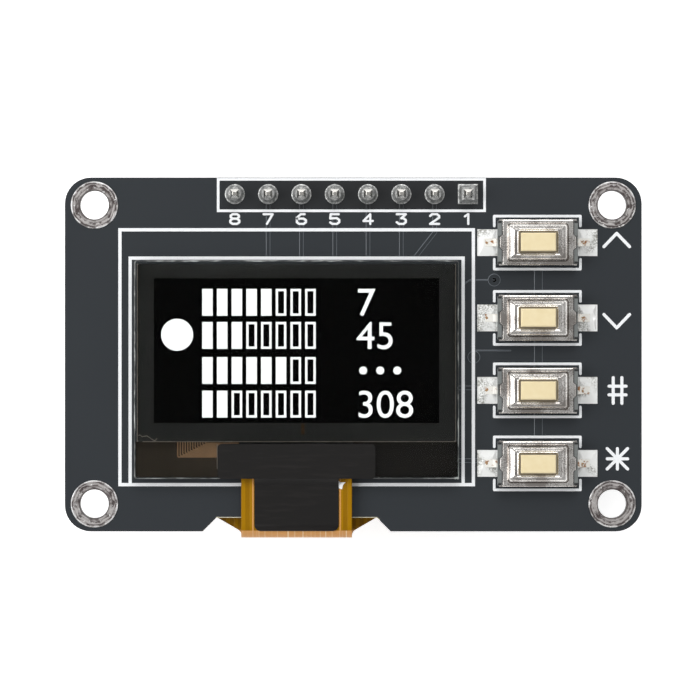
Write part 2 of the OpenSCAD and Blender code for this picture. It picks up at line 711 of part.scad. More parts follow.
// A slice off the top of a thin hollow ball.
module switch_dome(i) color([0.80, 0.78, 0.72]) at_switch(i) {
    ball_r = (dome_r * dome_r + dome_h * dome_h) / (2 * dome_h);
    difference() {
        translate([0, 0, dome_z - ball_r]) difference() {
            sphere(ball_r);
            sphere(ball_r - dome_t);
        }
        plate(3 * ball_r, 3 * ball_r, 3 * ball_r, floor_h - 3 * ball_r);
    }
}

// A low mound of solder over each land, round the strip's foot.
module switch_solder() color([0.86, 0.86, 0.85]) {
    length = (land_span - base_w) / 2 - 2 * land_margin;
    for (i = [1:switch_count], side = [0, 1]) at_switch(i) mirror([side, 0, 0]) difference() {
        translate([(base_w + length) / 2 + land_margin, 0, 0])
            frustum([length, land_d - land_margin], [length / 2, strip_w], strip_t - rest_gap);
        contact_strip(0);
    }
}

// ---------- small parts on the rear ----------
// Each is drawn standing on its own lands, and on_rear turns it over onto the board.

module each_capacitor() for (i = [0:small_count - 1]) on_rear(row_x(i), cap_row_y) children();
module each_resistor() for (i = [0:small_count - 1]) on_rear(row_x(i), res_row_y) children();

module small_part_lands(size) {
    length = end_l + fillet_l + 2 * land_margin;
    for (side = [-1, 1]) translate([side * ((size[0] - length) / 2 + fillet_l + land_margin), 0, -land_t])
        plate(length, size[1] + 2 * land_margin, land_t);
}

module small_part_ends(size) for (side = [-1, 1])
    translate([side * (size[0] - end_l) / 2, 0, 0]) plate(end_l, size[1], size[2]);

// A hollow-sided fillet against each metal end.
module small_part_fillets(size) for (side = [0, 180]) rotate([0, 0, side]) along_y(size[1])
    polygon([[size[0] / 2, 0], [size[0] / 2 + fillet_l, 0], [size[0] / 2 + fillet_l / 3, size[2] / 5],
             [size[0] / 2, size[2] * 0.6]]);

module capacitor_bodies() color([0.62, 0.50, 0.38]) each_capacitor()
    plate(cap_size[0] - 2 * end_l, cap_size[1], cap_size[2]);

module resistor_bodies() color([0.10, 0.10, 0.11]) each_resistor()
    plate(res_size[0] - 2 * end_l, res_size[1], res_size[2]);

module metal_ends() color([0.80, 0.80, 0.80]) {
    each_capacitor() small_part_ends(cap_size);
    each_resistor() small_part_ends(res_size);
}

module small_part_solder() color([0.76, 0.76, 0.75]) {
    each_capacitor() small_part_fillets(cap_size);
    each_resistor() small_part_fillets(res_size);
}

// A leg that leaves a body at half its height and steps down to a flat foot.
module leg(body_half, body_h) {
    x1 = body_half + leg_run[0];
    x2 = x1 + leg_run[1];
    x3 = x2 + leg_run[2];
    z = body_h / 2 - leg_t / 2;
    rotate([0, 0, 90]) along_y(leg_w)
        polygon([[body_half, z], [x1 - leg_t / 2, z], [x2 - leg_t / 2, 0], [x3, 0], [x3, leg_t],
                 [x2 + leg_t / 2, leg_t], [x1 + leg_t / 2, z + leg_t], [body_half, z + leg_t]]);
}

module leg_land(body_half) {
    length = leg_run[2] + leg_t / 2 + 2 * land_margin;
    translate([0, body_half + leg_reach + land_margin - length / 2, -land_t])
        plate(leg_w + 2 * land_margin, length, land_t);
}

// Two legs on one side and one on the other.
module each_regulator_leg() {
    for (x = [-1, 1]) translate([x * leg_span / 2, 0, 0]) children();
    rotate([0, 0, 180]) children();
}

module each_diode_leg() for (side = [90, 270]) rotate([0, 0, side]) children();

// A moulded body that narrows from its waist to its two faces.
module moulded_body(size) {
    waist = [size[0], size[1]];
    face = waist - [2, 2] * body_draft;
    translate([0, 0, size[2] / 2]) {
        frustum(waist, face, size[2] / 2);
        mirror([0, 0, 1]) frustum(waist, face, size[2] / 2 - body_lift);
    }
}

module regulator_body() color([0.10, 0.10, 0.11]) on_rear(reg_x, beside_y) moulded_body(reg_size);

module regulator_legs() color([0.80, 0.80, 0.80]) on_rear(reg_x, beside_y)
    each_regulator_leg() leg(reg_size[1] / 2, reg_size[2]);

module diode_body() color([0.10, 0.10, 0.11]) on_rear(diode_x, beside_y) moulded_body(diode_size);

module diode_legs() color([0.80, 0.80, 0.80]) on_rear(diode_x, beside_y)
    each_diode_leg() leg(diode_size[0] / 2, diode_size[2]);

// ---------- what is drawn ----------

board();
silkscreen();
lands();
mounting_rings();
adhesive_pad();
rear_glass();
seal_frame();
pixel_layer();
front_glass();
polarizer();
driver_chip();
flex_tail();
flex_solder();
shield_tape();
header_strip();
header_solder();
for (i = [1:pin_count]) header_pin(i);
for (i = [1:switch_count]) switch_base(i);
for (i = [1:switch_count]) switch_cover(i);
for (i = [1:switch_count]) switch_plunger(i);
for (i = [1:switch_count]) switch_dome(i);
for (i = [1:switch_count]) color([0.82, 0.80, 0.74]) at_switch(i) left_contact();
for (i = [1:switch_count]) color([0.82, 0.80, 0.74]) at_switch(i) right_contact();
switch_solder();
regulator_body();
regulator_legs();
diode_body();
diode_legs();
capacitor_bodies();
resistor_bodies();
metal_ends();
small_part_solder();
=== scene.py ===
"""A small display module with four push switches, dressed in the order in which it is put together.

Lengths are written in millimetres and turned to metres by mm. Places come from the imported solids.
"""
import math
import random

import bpy
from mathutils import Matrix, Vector


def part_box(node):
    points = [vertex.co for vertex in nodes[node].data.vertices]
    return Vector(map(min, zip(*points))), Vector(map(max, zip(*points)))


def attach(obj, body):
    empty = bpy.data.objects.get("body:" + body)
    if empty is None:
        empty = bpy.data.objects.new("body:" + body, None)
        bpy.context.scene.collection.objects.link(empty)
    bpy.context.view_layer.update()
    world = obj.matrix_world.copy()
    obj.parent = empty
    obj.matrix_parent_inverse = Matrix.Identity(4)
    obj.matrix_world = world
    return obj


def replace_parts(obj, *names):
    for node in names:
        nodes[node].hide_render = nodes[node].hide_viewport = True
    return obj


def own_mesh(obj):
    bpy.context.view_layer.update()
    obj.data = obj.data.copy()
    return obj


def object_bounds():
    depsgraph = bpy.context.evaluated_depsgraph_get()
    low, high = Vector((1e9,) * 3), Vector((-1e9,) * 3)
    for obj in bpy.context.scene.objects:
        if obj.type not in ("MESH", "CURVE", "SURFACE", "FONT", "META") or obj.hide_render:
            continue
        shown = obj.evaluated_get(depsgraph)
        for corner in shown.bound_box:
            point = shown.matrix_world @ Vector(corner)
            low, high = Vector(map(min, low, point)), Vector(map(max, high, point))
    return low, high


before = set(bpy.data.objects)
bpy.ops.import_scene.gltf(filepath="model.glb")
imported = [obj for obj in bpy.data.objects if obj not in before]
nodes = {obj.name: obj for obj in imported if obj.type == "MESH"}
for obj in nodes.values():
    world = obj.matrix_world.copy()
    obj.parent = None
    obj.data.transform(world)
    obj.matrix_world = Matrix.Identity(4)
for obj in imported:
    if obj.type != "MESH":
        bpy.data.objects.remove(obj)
cad_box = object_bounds()
mm = 0.001


# ---------------------------------------------------------------- bare board
# A 1.2 mm panel of glass-fibre cloth and epoxy resin, routed to its outline. Both faces carry a
# matt black solder mask, printed over the copper as a liquid and cured by light.

def linear(code):
    """An sRGB colour code as linear red, green, blue and an alpha of one."""
    parts = [int(code[i:i + 2], 16) / 255 for i in (1, 3, 5)]
    return [p / 12.92 if p <= 0.04045 else ((p + 0.055) / 1.055) ** 2.4 for p in parts] + [1.0]


def cells_of(size):
    """The scale at which a pattern's cells are that many millimetres across."""
    return 1 / (size * mm)


def bands_of(pitch):
    """The scale at which a wave pattern's bands are that many millimetres apart."""
    return math.tau / 20 / (pitch * mm)


def add_node(tree, kind, sockets=None, **settings):
    """Adds a shader node with its settings; each socket takes a value, or a link from another's output."""
    node = tree.nodes.new(kind)
    for name, value in settings.items():
        setattr(node, name, value)
    for name, value in (sockets or {}).items():
        if isinstance(value, bpy.types.NodeSocket):
            tree.links.new(value, node.inputs[name])
        else:
            node.inputs[name].default_value = value
    return node


def start_material(name):
    """A new material with an empty tree, and the place on the piece, in metres, as that tree reads it."""
    made = bpy.data.materials.new(name)
    made.use_nodes = True
    made.node_tree.nodes.clear()
    place = add_node(made.node_tree, "ShaderNodeTexCoord")
    return made, made.node_tree, place.outputs["Object"]


def finish_material(tree, sockets):
    """Closes a material with one Principled shader, whose sockets hold the finish."""
    shader = add_node(tree, "ShaderNodeBsdfPrincipled", sockets)
    add_node(tree, "ShaderNodeOutputMaterial", {"Surface": shader.outputs[0]})


def ends(node):
    """The lowest and highest corners of a CAD node, in millimetres."""
    low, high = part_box(node)
    return low / mm, high / mm


# Matt black solder mask: a cured lacquer, charcoal under light, with a faint orange peel. It thins
# over the edges of the copper, and those sloped edges are painted paler: partly the copper showing
# through, partly a painted highlight. Flux wiped off after the header was soldered leaves its field browner.
MASK, MASK_THIN_AND_HIGHLIGHT, MASK_CLOUD, MASK_FLUX = "#2C3135", "#6A7076", "#282C31", "#151210"
CLOUD_SIZE, PEEL_SIZE = 9, 0.16
# Glass-epoxy laminate where the router cut it: olive resin with paler layers of cloth. Real layers,
# 0.2 mm thick or less, are too fine to show, so they are drawn coarser, at 0.30 mm.
RESIN, CLOTH = "#625D43", "#928B69"
CLOTH_LAYER, WEAVE_PITCH = 0.30, 0.45
# How upright a face's normal is where it lies level, slopes over copper, or is a cut edge.
LEVEL, SLOPED, CUT = 0.985, 0.955, 0.3
# How far the flux field fades out inside the ends and sides of the header's strip.
FADE_LENGTH, FADE_WIDTH = 0.3, 0.2

solder_mask, tree, place = start_material("matt_black_solder_mask")
facing = add_node(tree, "ShaderNodeSeparateXYZ", {0: tree.nodes[0].outputs["Normal"]})
upright = add_node(tree, "ShaderNodeMath", {0: facing.outputs["Z"]}, operation="ABSOLUTE")
cloud = add_node(tree, "ShaderNodeTexNoise", {"Vector": place, "Scale": cells_of(CLOUD_SIZE), "Detail": 2.0})
lacquer = add_node(tree, "ShaderNodeMix", {0: cloud.outputs["Fac"], 6: linear(MASK_CLOUD), 7: linear(MASK)},
                   data_type="RGBA")
# Painted highlight: sloped faces over copper edges turn paler, along with the thinner mask there.
over_edge = add_node(tree, "ShaderNodeMapRange", {0: upright.outputs[0], 1: LEVEL, 2: SLOPED})
thinned_and_highlit = add_node(tree, "ShaderNodeMix", {0: over_edge.outputs[0], 6: lacquer.outputs[2],
                                           7: linear(MASK_THIN_AND_HIGHLIGHT)}, data_type="RGBA")
layers = add_node(tree, "ShaderNodeTexWave", {"Vector": place, "Scale": bands_of(CLOTH_LAYER),
                                              "Distortion": 1.5, "Detail": 2.0, "Detail Scale": 0.5},
                  bands_direction="Z")
cut_face = add_node(tree, "ShaderNodeMix", {0: layers.outputs["Fac"], 6: linear(RESIN), 7: linear(CLOTH)},
                    data_type="RGBA")
is_cut = add_node(tree, "ShaderNodeMath", {0: upright.outputs[0], 1: CUT}, operation="LESS_THAN")
strip_low, strip_high = ends("header_strip")
strip_middle, strip_reach = (strip_low + strip_high) / 2, (strip_high - strip_low) / 2
from_strip = add_node(tree, "ShaderNodeVectorMath", {0: place, 1: strip_middle * mm}, operation="SUBTRACT")
aside = add_node(tree, "ShaderNodeVectorMath", {0: from_strip.outputs[0]}, operation="ABSOLUTE")
distance = add_node(tree, "ShaderNodeSeparateXYZ", {0: aside.outputs[0]})
in_length = add_node(tree, "ShaderNodeMapRange", {0: distance.outputs["X"], 1: strip_reach.x * mm,
                                                  2: (strip_reach.x - FADE_LENGTH) * mm})
in_width = add_node(tree, "ShaderNodeMapRange", {0: distance.outputs["Y"], 1: strip_reach.y * mm,
                                                 2: (strip_reach.y - FADE_WIDTH) * mm})
in_field = add_node(tree, "ShaderNodeMath", {0: in_length.outputs[0], 1: in_width.outputs[0]},
                    operation="MULTIPLY")
wiped = add_node(tree, "ShaderNodeMath", {0: in_field.outputs[0], 1: cloud.outputs["Fac"]},
                 operation="MULTIPLY")
soldered = add_node(tree, "ShaderNodeMix", {0: wiped.outputs[0], 6: thinned_and_highlit.outputs[2], 7: linear(MASK_FLUX)},
                    data_type="RGBA")
colour = add_node(tree, "ShaderNodeMix", {0: is_cut.outputs[0], 6: soldered.outputs[2],
                                          7: cut_face.outputs[2]}, data_type="RGBA")
rough = add_node(tree, "ShaderNodeMapRange", {0: is_cut.outputs[0], 3: 0.42, 4: 0.85})
peel = add_node(tree, "ShaderNodeTexNoise", {"Vector": place, "Scale": cells_of(PEEL_SIZE), "Detail": 3.0})
weave = add_node(tree, "ShaderNodeTexChecker", {"Vector": place, "Scale": cells_of(WEAVE_PITCH)})
relief = add_node(tree, "ShaderNodeMath", {0: weave.outputs["Fac"], 1: 0.08, 2: peel.outputs["Fac"]},
                  operation="MULTIPLY_ADD")
bump = add_node(tree, "ShaderNodeBump", {"Height": relief.outputs[0], "Strength": 0.12,
                                         "Distance": 0.02 * mm})
finish_material(tree, {"Base Color": colour.outputs[2], "Roughness": rough.outputs[0],
                       "Specular IOR Level": 0.35, "Normal": bump.outputs["Normal"]})


def dress(material, names, soften=0.0):
    """Gives CAD nodes their material; soften breaks their sharp edges by that many millimetres."""
    for name in names:
        nodes[name].material_slots[0].material = material
        if soften:
            joined = nodes[name].modifiers.new("joined_faces", "WELD")
            joined.merge_threshold = 0.0005 * mm
            broken = nodes[name].modifiers.new("broken_edges", "BEVEL")
            broken.width, broken.segments, broken.harden_normals = soften * mm, 2, True
            broken.limit_method, broken.angle_limit = "ANGLE", math.radians(35)


dress(solder_mask, ["board"])
board_low, board_high = ends("board")
FACE = board_high.z


# ------------------------------------------------- copper tracks and vias under the mask
# Tracks are etched from 0.035 mm copper foil and vias are drilled and plated. The mask lies over
# both, so they stand a little proud of the face and only their edges show. Each reaches a little
# under the face, so that no gap shows beneath it.
TRACK_STEP, TRACK_W, TRACK_SLOPE, UNDER = 0.02, 0.37, 0.06, 0.01


def outline(path, radius, steps=6):
    """The closed outline of a round-ended line of that radius along a path of points."""
    there_and_back = path + path[-2:0:-1]
    around, count = [], len(there_and_back)
    for i, (x, y) in enumerate(there_and_back):
        before, after = there_and_back[i - 1], there_and_back[(i + 1) % count]
        heading_in = math.atan2(y - before[1], x - before[0])
        turn = (math.atan2(after[1] - y, after[0] - x) - heading_in) % math.tau
        if turn > math.pi + 1e-6:                      # the inner side of a bend: one mitred point
            turn -= math.tau
            aim = heading_in + turn / 2 - math.pi / 2
            reach = radius / math.cos(turn / 2)
            around.append((x + reach * math.cos(aim), y + reach * math.sin(aim)))
        else:                                          # the outer side, or an end: a round
            for k in range(steps + 1):
                aim = heading_in - math.pi / 2 + turn * k / steps
                around.append((x + radius * math.cos(aim), y + radius * math.sin(aim)))
    return around


def stacked(rings):
    """The points and faces of a closed solid through rings of points that match one for one."""
    size = len(rings[0])
    points = [point for ring in rings for point in ring]
    faces = [tuple(range(size))[::-1], tuple(range(len(points) - size, len(points)))]
    for level in range(len(rings) - 1):
        for i in range(size):
            a, b = level * size + i, level * size + (i + 1) % size
            faces.append((a, b, b + size, a + size))
    return points, faces


def stroke(path, width, low, high, slope=0.0):
    """A round-ended line standing from low to high, with sides that lean in by slope."""
    levels = [(width / 2, low), (width / 2 - slope, high)]
    return stacked([[(x, y, z) for x, y in outline(path, radius)] for radius, z in levels])


def turned(centre, profile, steps=32):
    """A ring turned round an upright line through centre, from a closed profile of (radius, height)."""
    turns = [k * math.tau / steps for k in range(steps)]
    points = [(centre[0] + r * math.cos(a), centre[1] + r * math.sin(a), z)
              for a in turns for r, z in profile]
    size, faces = len(profile), []
    for k in range(steps):
        for i in range(size):
            j = (i + 1) % size
            faces.append((k * size + i, (k + 1) % steps * size + i, (k + 1) % steps * size + j, k * size + j))
    return points, faces


def piece(name, solids, material, body="module"):
    """One object made of one or more solids of points and faces in millimetres, riding on a body."""
    points, faces = [], []
    for solid_points, solid_faces in solids:
        faces += [tuple(len(points) + i for i in face) for face in solid_faces]
        points += [tuple(c * mm for c in point) for point in solid_points]
    mesh = bpy.data.meshes.new(name)
    mesh.from_pydata(points, [], faces)
    mesh.validate()
    mesh.materials.append(material)
    made = bpy.data.objects.new(name, mesh)
    bpy.context.scene.collection.objects.link(made)
    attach(made, body)
    return made


pin_x = {i: sum(c.x for c in ends(f"header_pin_{i}")) / 2 for i in range(1, 9)}
pin_y = sum(c.y for c in ends("header_pin_1")) / 2
glass_low, glass_high = ends("front_glass")
switch_x = sum(c.x for c in ends("switch_base_1")) / 2
switch_y = [sum(c.y for c in ends(f"switch_base_{i}")) / 2 for i in range(1, 5)]
# Six tracks run from the pins to the display's edge, the last one bent aside. Two short stubs lie
# beside the display, a wide track feeds the switches, and a thin feed leaves each via.
rail_low = glass_high.y + 0.1
tracks = [[(pin_x[i], pin_y), (pin_x[i], rail_low)] for i in (7, 6, 5, 4, 3)]
tracks.append([(pin_x[2], pin_y), (pin_x[2], 9.3), (pin_x[2] - 1.6, rail_low)])
tracks += [[(8.1, y), (9.7, y)] for y in (-2.55, -8.1)]
supply_x, SUPPLY_PAST = switch_x + 0.08, 2.2
supply = [(supply_x, switch_y[0] - SUPPLY_PAST), (supply_x, switch_y[3] + SUPPLY_PAST)]
VIAS = [(10.75, 5.68), (9.2, -0.2)]
VIA_R, VIA_BORE, SUPPLY_W, FEED_W = 0.50, 0.16, 0.68, 0.15
feeds = [[VIAS[0], (8.9, VIAS[0][1]), (8.3, VIAS[0][1] - 0.4)], [VIAS[1], (VIAS[1][0], 0.3), (12, 0.3)]]
via_profile = [(VIA_BORE, FACE - UNDER), (VIA_R, FACE - UNDER), (VIA_R - TRACK_SLOPE, FACE + TRACK_STEP),
               (VIA_BORE + 0.01, FACE + TRACK_STEP), (VIA_BORE, FACE + 0.002)]
piece("tracks_under_mask",
      [stroke(path, width, FACE - UNDER, FACE + TRACK_STEP, TRACK_SLOPE)
       for paths, width in ((tracks, TRACK_W), ([supply], SUPPLY_W), (feeds, FEED_W)) for path in paths],
      solder_mask)
piece("tented_vias", [turned(via, via_profile) for via in VIAS], solder_mask)


def clouded(name, size, detail, ground, cloud, finish, limits=None, relief=None, stretch=None):
    """A material whose ground clouds to a second colour, in patches of that many millimetres.

    limits are the values between which the pattern turns from ground to cloud, relief is the strength
    and depth in millimetres that it stands up with, and stretch draws it out along one way.
    """
    made, tree, place = start_material(name)
    if stretch:
        place = add_node(tree, "ShaderNodeMapping", {0: place, 3: stretch}).outputs[0]
    pattern = add_node(tree, "ShaderNodeTexNoise", {"Vector": place, "Scale": cells_of(size),
                                                    "Detail": detail})
    amount = pattern.outputs["Fac"]
    if limits:
        amount = add_node(tree, "ShaderNodeMapRange", {0: amount, 1: limits[0], 2: limits[1]}).outputs[0]
    colour = add_node(tree, "ShaderNodeMix", {0: amount, 6: linear(ground), 7: linear(cloud)},
                      data_type="RGBA")
    sockets = {"Base Color": colour.outputs[2], **finish}
    if relief:
        bump = add_node(tree, "ShaderNodeBump", {"Height": pattern.outputs["Fac"], "Strength": relief[0],
                                                 "Distance": relief[1] * mm})
        sockets["Normal"] = bump.outputs["Normal"]
    finish_material(tree, sockets)
    return made


# The bore of a via: plated copper in deep shade, with a trace of mask that ran in.
shaded_bore = clouded("plated_bore_in_shade", 0.1, 2.0, "#020202", "#0C0A09",
                      {"Roughness": 0.8, "Specular IOR Level": 0.05})
PLUG_R = VIA_BORE + 0.005
bore_profile = [(0.005, FACE - UNDER), (PLUG_R, FACE - UNDER), (PLUG_R, FACE + 0.012), (0.005, FACE + 0.010)]
piece("via_bores", [turned(via, bore_profile, 20) for via in VIAS], shaded_bore)

# Torn glass fibre, fuzzy where the router left it along the straight side of the notch. Its pale
# colour is partly the torn fibre and partly a painted highlight along the edge.
NOTCH_DEPTH, NOTCH_HALF, BURR_W, BURR_H = 1.04, 6.13, 0.07, 0.012
burr_with_highlight = clouded("torn_glass_fibre_painted_highlight", 0.5, 3.0, "#8F8761", "#F6F1DC", {"Roughness": 0.8})
tail_low, tail_high = ends("flex_tail")
notch_x, notch_y = (tail_low.x + tail_high.x) / 2, board_low.y + NOTCH_DEPTH + BURR_W / 2
notch_end = notch_x + NOTCH_HALF
burr = [(notch_x - NOTCH_HALF, notch_y), (notch_end, notch_y), (notch_end + 0.2, notch_y - 0.18)]
# A pale stroke along the notch: torn fibre with a painted highlight.
piece("routed_burr_highlight", [stroke(burr, BURR_W, FACE - UNDER, FACE + BURR_H, 0.01)], burr_with_highlight)


# ------------------------------------------------- solder lands and hole rings
# Bare copper pads, dipped in molten solder and blown level with hot air, so they are silvery with
# small grey dimples. The rings of the mounting holes are the same, rubbed dull by handling.
LAND_BRIGHT, LAND_GREY = "#FDFEFC", "#9C9B94"
SPECK, POOL = 0.12, 1.5

# Hot-air-levelled tin: soft bright metal that clouds to grey where the solder froze last.
levelled_tin, tree, place = start_material("hot_air_levelled_tin")
speck = add_node(tree, "ShaderNodeTexNoise", {"Vector": place, "Scale": cells_of(SPECK), "Detail": 4.0})
pool = add_node(tree, "ShaderNodeTexNoise", {"Vector": place, "Scale": cells_of(POOL), "Detail": 1.0})
in_pool = add_node(tree, "ShaderNodeMapRange", {0: pool.outputs["Fac"], 1: 0.50, 2: 0.62})
in_speck = add_node(tree, "ShaderNodeMapRange", {0: speck.outputs["Fac"], 1: 0.38, 2: 0.64})
dull = add_node(tree, "ShaderNodeMath", {0: in_pool.outputs[0], 1: in_speck.outputs[0]}, operation="MULTIPLY")
colour = add_node(tree, "ShaderNodeMix", {0: dull.outputs[0], 6: linear(LAND_BRIGHT), 7: linear(LAND_GREY)},
                  data_type="RGBA")
bump = add_node(tree, "ShaderNodeBump", {"Height": speck.outputs["Fac"], "Strength": 0.15,
                                         "Distance": 0.02 * mm})
finish_material(tree, {"Base Color": colour.outputs[2], "Metallic": 0.1, "Roughness": 0.35,
                       "Normal": bump.outputs["Normal"]})

RING_GREY, RING_BRIGHT_AND_HIGHLIGHT, RING_TARNISH, RING_BARREL_SHADE = "#CBC6C4", "#FFFFFF", "#5C5352", "#4B4543"
RING_R, RING_BORE, RIM_W = 1.8, 1.1, 0.12
SCRATCH, WORN_PATCH, SPECK_SIZE = 0.13, 0.55, 0.16
# Worn tin plating: greyish pink, scored in arcs by turning screw heads, and bright in specks. A painted
# highlight runs bright round its rim, and painted shade makes it dull grey down the barrel of each hole.
worn_tin, tree, place = start_material("worn_tin_plating")
hole_x, hole_y = (ends("mounting_rings")[1][axis] - RING_R for axis in (0, 1))
folded = add_node(tree, "ShaderNodeVectorMath", {0: place}, operation="ABSOLUTE")
offset = add_node(tree, "ShaderNodeVectorMath", {0: folded.outputs[0], 1: (hole_x * mm, hole_y * mm, 0)},
                  operation="SUBTRACT")
level = add_node(tree, "ShaderNodeVectorMath", {0: offset.outputs[0], 1: (1, 1, 0)}, operation="MULTIPLY")
radius = add_node(tree, "ShaderNodeVectorMath", {0: level.outputs[0]}, operation="LENGTH")
patch = add_node(tree, "ShaderNodeTexNoise", {"Vector": place, "Scale": cells_of(WORN_PATCH), "Detail": 4.0})
drift = add_node(tree, "ShaderNodeMath", {0: patch.outputs["Fac"], 1: 0.5 * mm, 2: radius.outputs["Value"]},
                 operation="MULTIPLY_ADD")
arc = add_node(tree, "ShaderNodeTexNoise", {"W": drift.outputs[0], "Scale": cells_of(SCRATCH), "Detail": 2.0},
               noise_dimensions="1D")
scored = add_node(tree, "ShaderNodeMath", {0: arc.outputs["Fac"], 1: 0.55, 2: patch.outputs["Fac"]},
                  operation="MULTIPLY_ADD")
clean = add_node(tree, "ShaderNodeMapRange", {0: scored.outputs[0], 1: 0.64, 2: 0.86})
ground = add_node(tree, "ShaderNodeMix", {0: clean.outputs[0], 6: linear(RING_TARNISH), 7: linear(RING_GREY)},
                  data_type="RGBA")
fleck = add_node(tree, "ShaderNodeTexNoise", {"Vector": place, "Scale": cells_of(SPECK_SIZE), "Detail": 2.0,
                                              "Distortion": 1.0})
rubbed = add_node(tree, "ShaderNodeMapRange", {0: fleck.outputs["Fac"], 1: 0.64, 2: 0.70})
# Painted highlight: a bright line round the outer rim, broken up in patches.
at_rim = add_node(tree, "ShaderNodeMapRange", {0: radius.outputs["Value"], 1: (RING_R - RIM_W) * mm,
                                               2: (RING_R - RIM_W / 2) * mm})
highlight_breaks = add_node(tree, "ShaderNodeMapRange", {0: patch.outputs["Fac"], 1: 0.42, 2: 0.56, 3: 0.25})
rim_highlight = add_node(tree, "ShaderNodeMath", {0: at_rim.outputs[0], 1: highlight_breaks.outputs[0]},
                    operation="MULTIPLY")
shown = add_node(tree, "ShaderNodeMath", {0: rubbed.outputs[0], 1: rim_highlight.outputs[0]}, operation="MAXIMUM")
face = add_node(tree, "ShaderNodeMix", {0: shown.outputs[0], 6: ground.outputs[2], 7: linear(RING_BRIGHT_AND_HIGHLIGHT)},
                data_type="RGBA")
# Painted shade: dull grey down the barrel of each hole.
past_bore = add_node(tree, "ShaderNodeMapRange", {0: radius.outputs["Value"], 1: (RING_BORE + 0.03) * mm,
                                                  2: (RING_BORE + 0.12) * mm})
colour = add_node(tree, "ShaderNodeMix", {0: past_bore.outputs[0], 6: linear(RING_BARREL_SHADE),
                                          7: face.outputs[2]}, data_type="RGBA")
bump = add_node(tree, "ShaderNodeBump", {"Height": scored.outputs[0], "Strength": 0.5, "Distance": 0.06 * mm})
finish_material(tree, {"Base Color": colour.outputs[2], "Metallic": 0.7, "Roughness": 0.34,
                       "Normal": bump.outputs["Normal"]})
dress(levelled_tin, ["lands"])
dress(worn_tin, ["mounting_rings"], soften=0.06)


# ------------------------------------------------- white print, pin numbers and signs
# Epoxy ink, screened on the mask as a 0.03 mm layer and baked. The frames and outlines are solids;
# the plain pin numbers and the four signs beside the switches are added here.
INK_H, PRINT_SLOPE = 0.03, 0.015

# White screen ink: chalky and dense, a little uneven where the printing mesh left it thin.
white_ink = clouded("white_screen_ink", 0.08, 3.0, "#FBFDFF", "#E6EAEE", {"Roughness": 0.62},
                    limits=(0.55, 0.75), relief=(0.2, 0.01))
dress(white_ink, ["silkscreen"])


def fused(made):
    """Joins the crossing strokes of a mesh into one skin."""
    union = made.modifiers.new("one_skin", "BOOLEAN")
    union.operation, union.use_self = "UNION", True
    blank = bpy.data.objects.new("blank", bpy.data.meshes.new("blank"))
    bpy.context.scene.collection.objects.link(blank)
    union.object = blank
    ready = made.evaluated_get(bpy.context.evaluated_depsgraph_get())
    skin = bpy.data.meshes.new_from_object(ready)
    made.modifiers.clear()
    made.data = skin
    bpy.data.objects.remove(blank)
    return made


def sign(name, paths, width):
    """A printed sign made of round-ended strokes."""
    solids = [stroke(path, width, FACE - UNDER, FACE + INK_H, PRINT_SLOPE) for path in paths]
    made = piece(name, solids, white_ink)
    return fused(made) if len(paths) > 1 else made


SIGN_X, SIGN_W = 20.1, 0.25
CHEVRON_X, CHEVRON_Y = 0.98, 1.02
for name, y, side in (("sign_up", 8.22, 1), ("sign_down", 3.05, -1)):
    chevron = [(SIGN_X - CHEVRON_X, y), (SIGN_X, y + side * CHEVRON_Y), (SIGN_X + CHEVRON_X, y)]
    sign(name, [chevron], SIGN_W)
HASH_X, HASH_Y, HASH_APART, HASH_HALF_W, HASH_HALF_H = 20.16, -2.75, 0.33, 0.65, 0.98
uprights = [[(x, HASH_Y - HASH_HALF_H), (x, HASH_Y + HASH_HALF_H)]
            for x in (HASH_X - HASH_APART, HASH_X + HASH_APART)]
crossbars = [[(HASH_X - HASH_HALF_W, y), (HASH_X + HASH_HALF_W, y)]
             for y in (HASH_Y - HASH_APART, HASH_Y + HASH_APART)]
sign("sign_hash", uprights + crossbars, SIGN_W)
STAR_X, STAR_Y, ARM = SIGN_X + 0.05, -7.96, 0.78
arms = [(ARM, 0), (0, ARM), (ARM, ARM), (ARM, -ARM)]
sign("sign_star", [[(STAR_X - x, STAR_Y - y), (STAR_X + x, STAR_Y + y)] for x, y in arms], SIGN_W)


# Plain numbers in the plotter's way: straight strokes with cut corners, in a box 0.7 wide and 1 tall.
DIGITS = {
    1: [[(0.12, 0.78), (0.38, 1), (0.38, 0)]],
    2: [[(0, 0.82), (0.16, 1), (0.54, 1), (0.7, 0.82), (0.7, 0.64), (0, 0), (0.7, 0)]],
    3: [[(0, 1), (0.7, 1), (0.34, 0.58), (0.52, 0.58), (0.7, 0.4), (0.7, 0.17), (0.53, 0), (0.17, 0),
         (0, 0.17)]],
    4: [[(0.52, 0), (0.52, 1), (0, 0.3)], [(0, 0.3), (0.72, 0.3)]],
    5: [[(0.66, 1), (0.04, 1), (0, 0.56), (0.5, 0.6), (0.7, 0.42), (0.7, 0.17), (0.53, 0), (0.17, 0),
         (0, 0.15)]],
    6: [[(0.6, 1), (0.3, 1), (0, 0.62), (0, 0.17), (0.17, 0), (0.53, 0), (0.7, 0.17), (0.7, 0.38),
         (0.53, 0.54), (0, 0.54)]],
    7: [[(0, 1), (0.7, 1), (0.26, 0)]],
    8: [[(0.18, 0.54), (0.03, 0.7), (0.03, 0.85), (0.18, 1), (0.52, 1), (0.67, 0.85), (0.67, 0.7),
         (0.52, 0.54)],
        [(0.18, 0.54), (0.52, 0.54)],
        [(0.18, 0.54), (0, 0.36), (0, 0.17), (0.17, 0), (0.53, 0), (0.7, 0.17), (0.7, 0.36), (0.52, 0.54)]],
}
NUMBER_W, NUMBER_H, NUMBER_FOOT, NUMBER_LINE = 0.98, 0.74, 9.96, 0.19
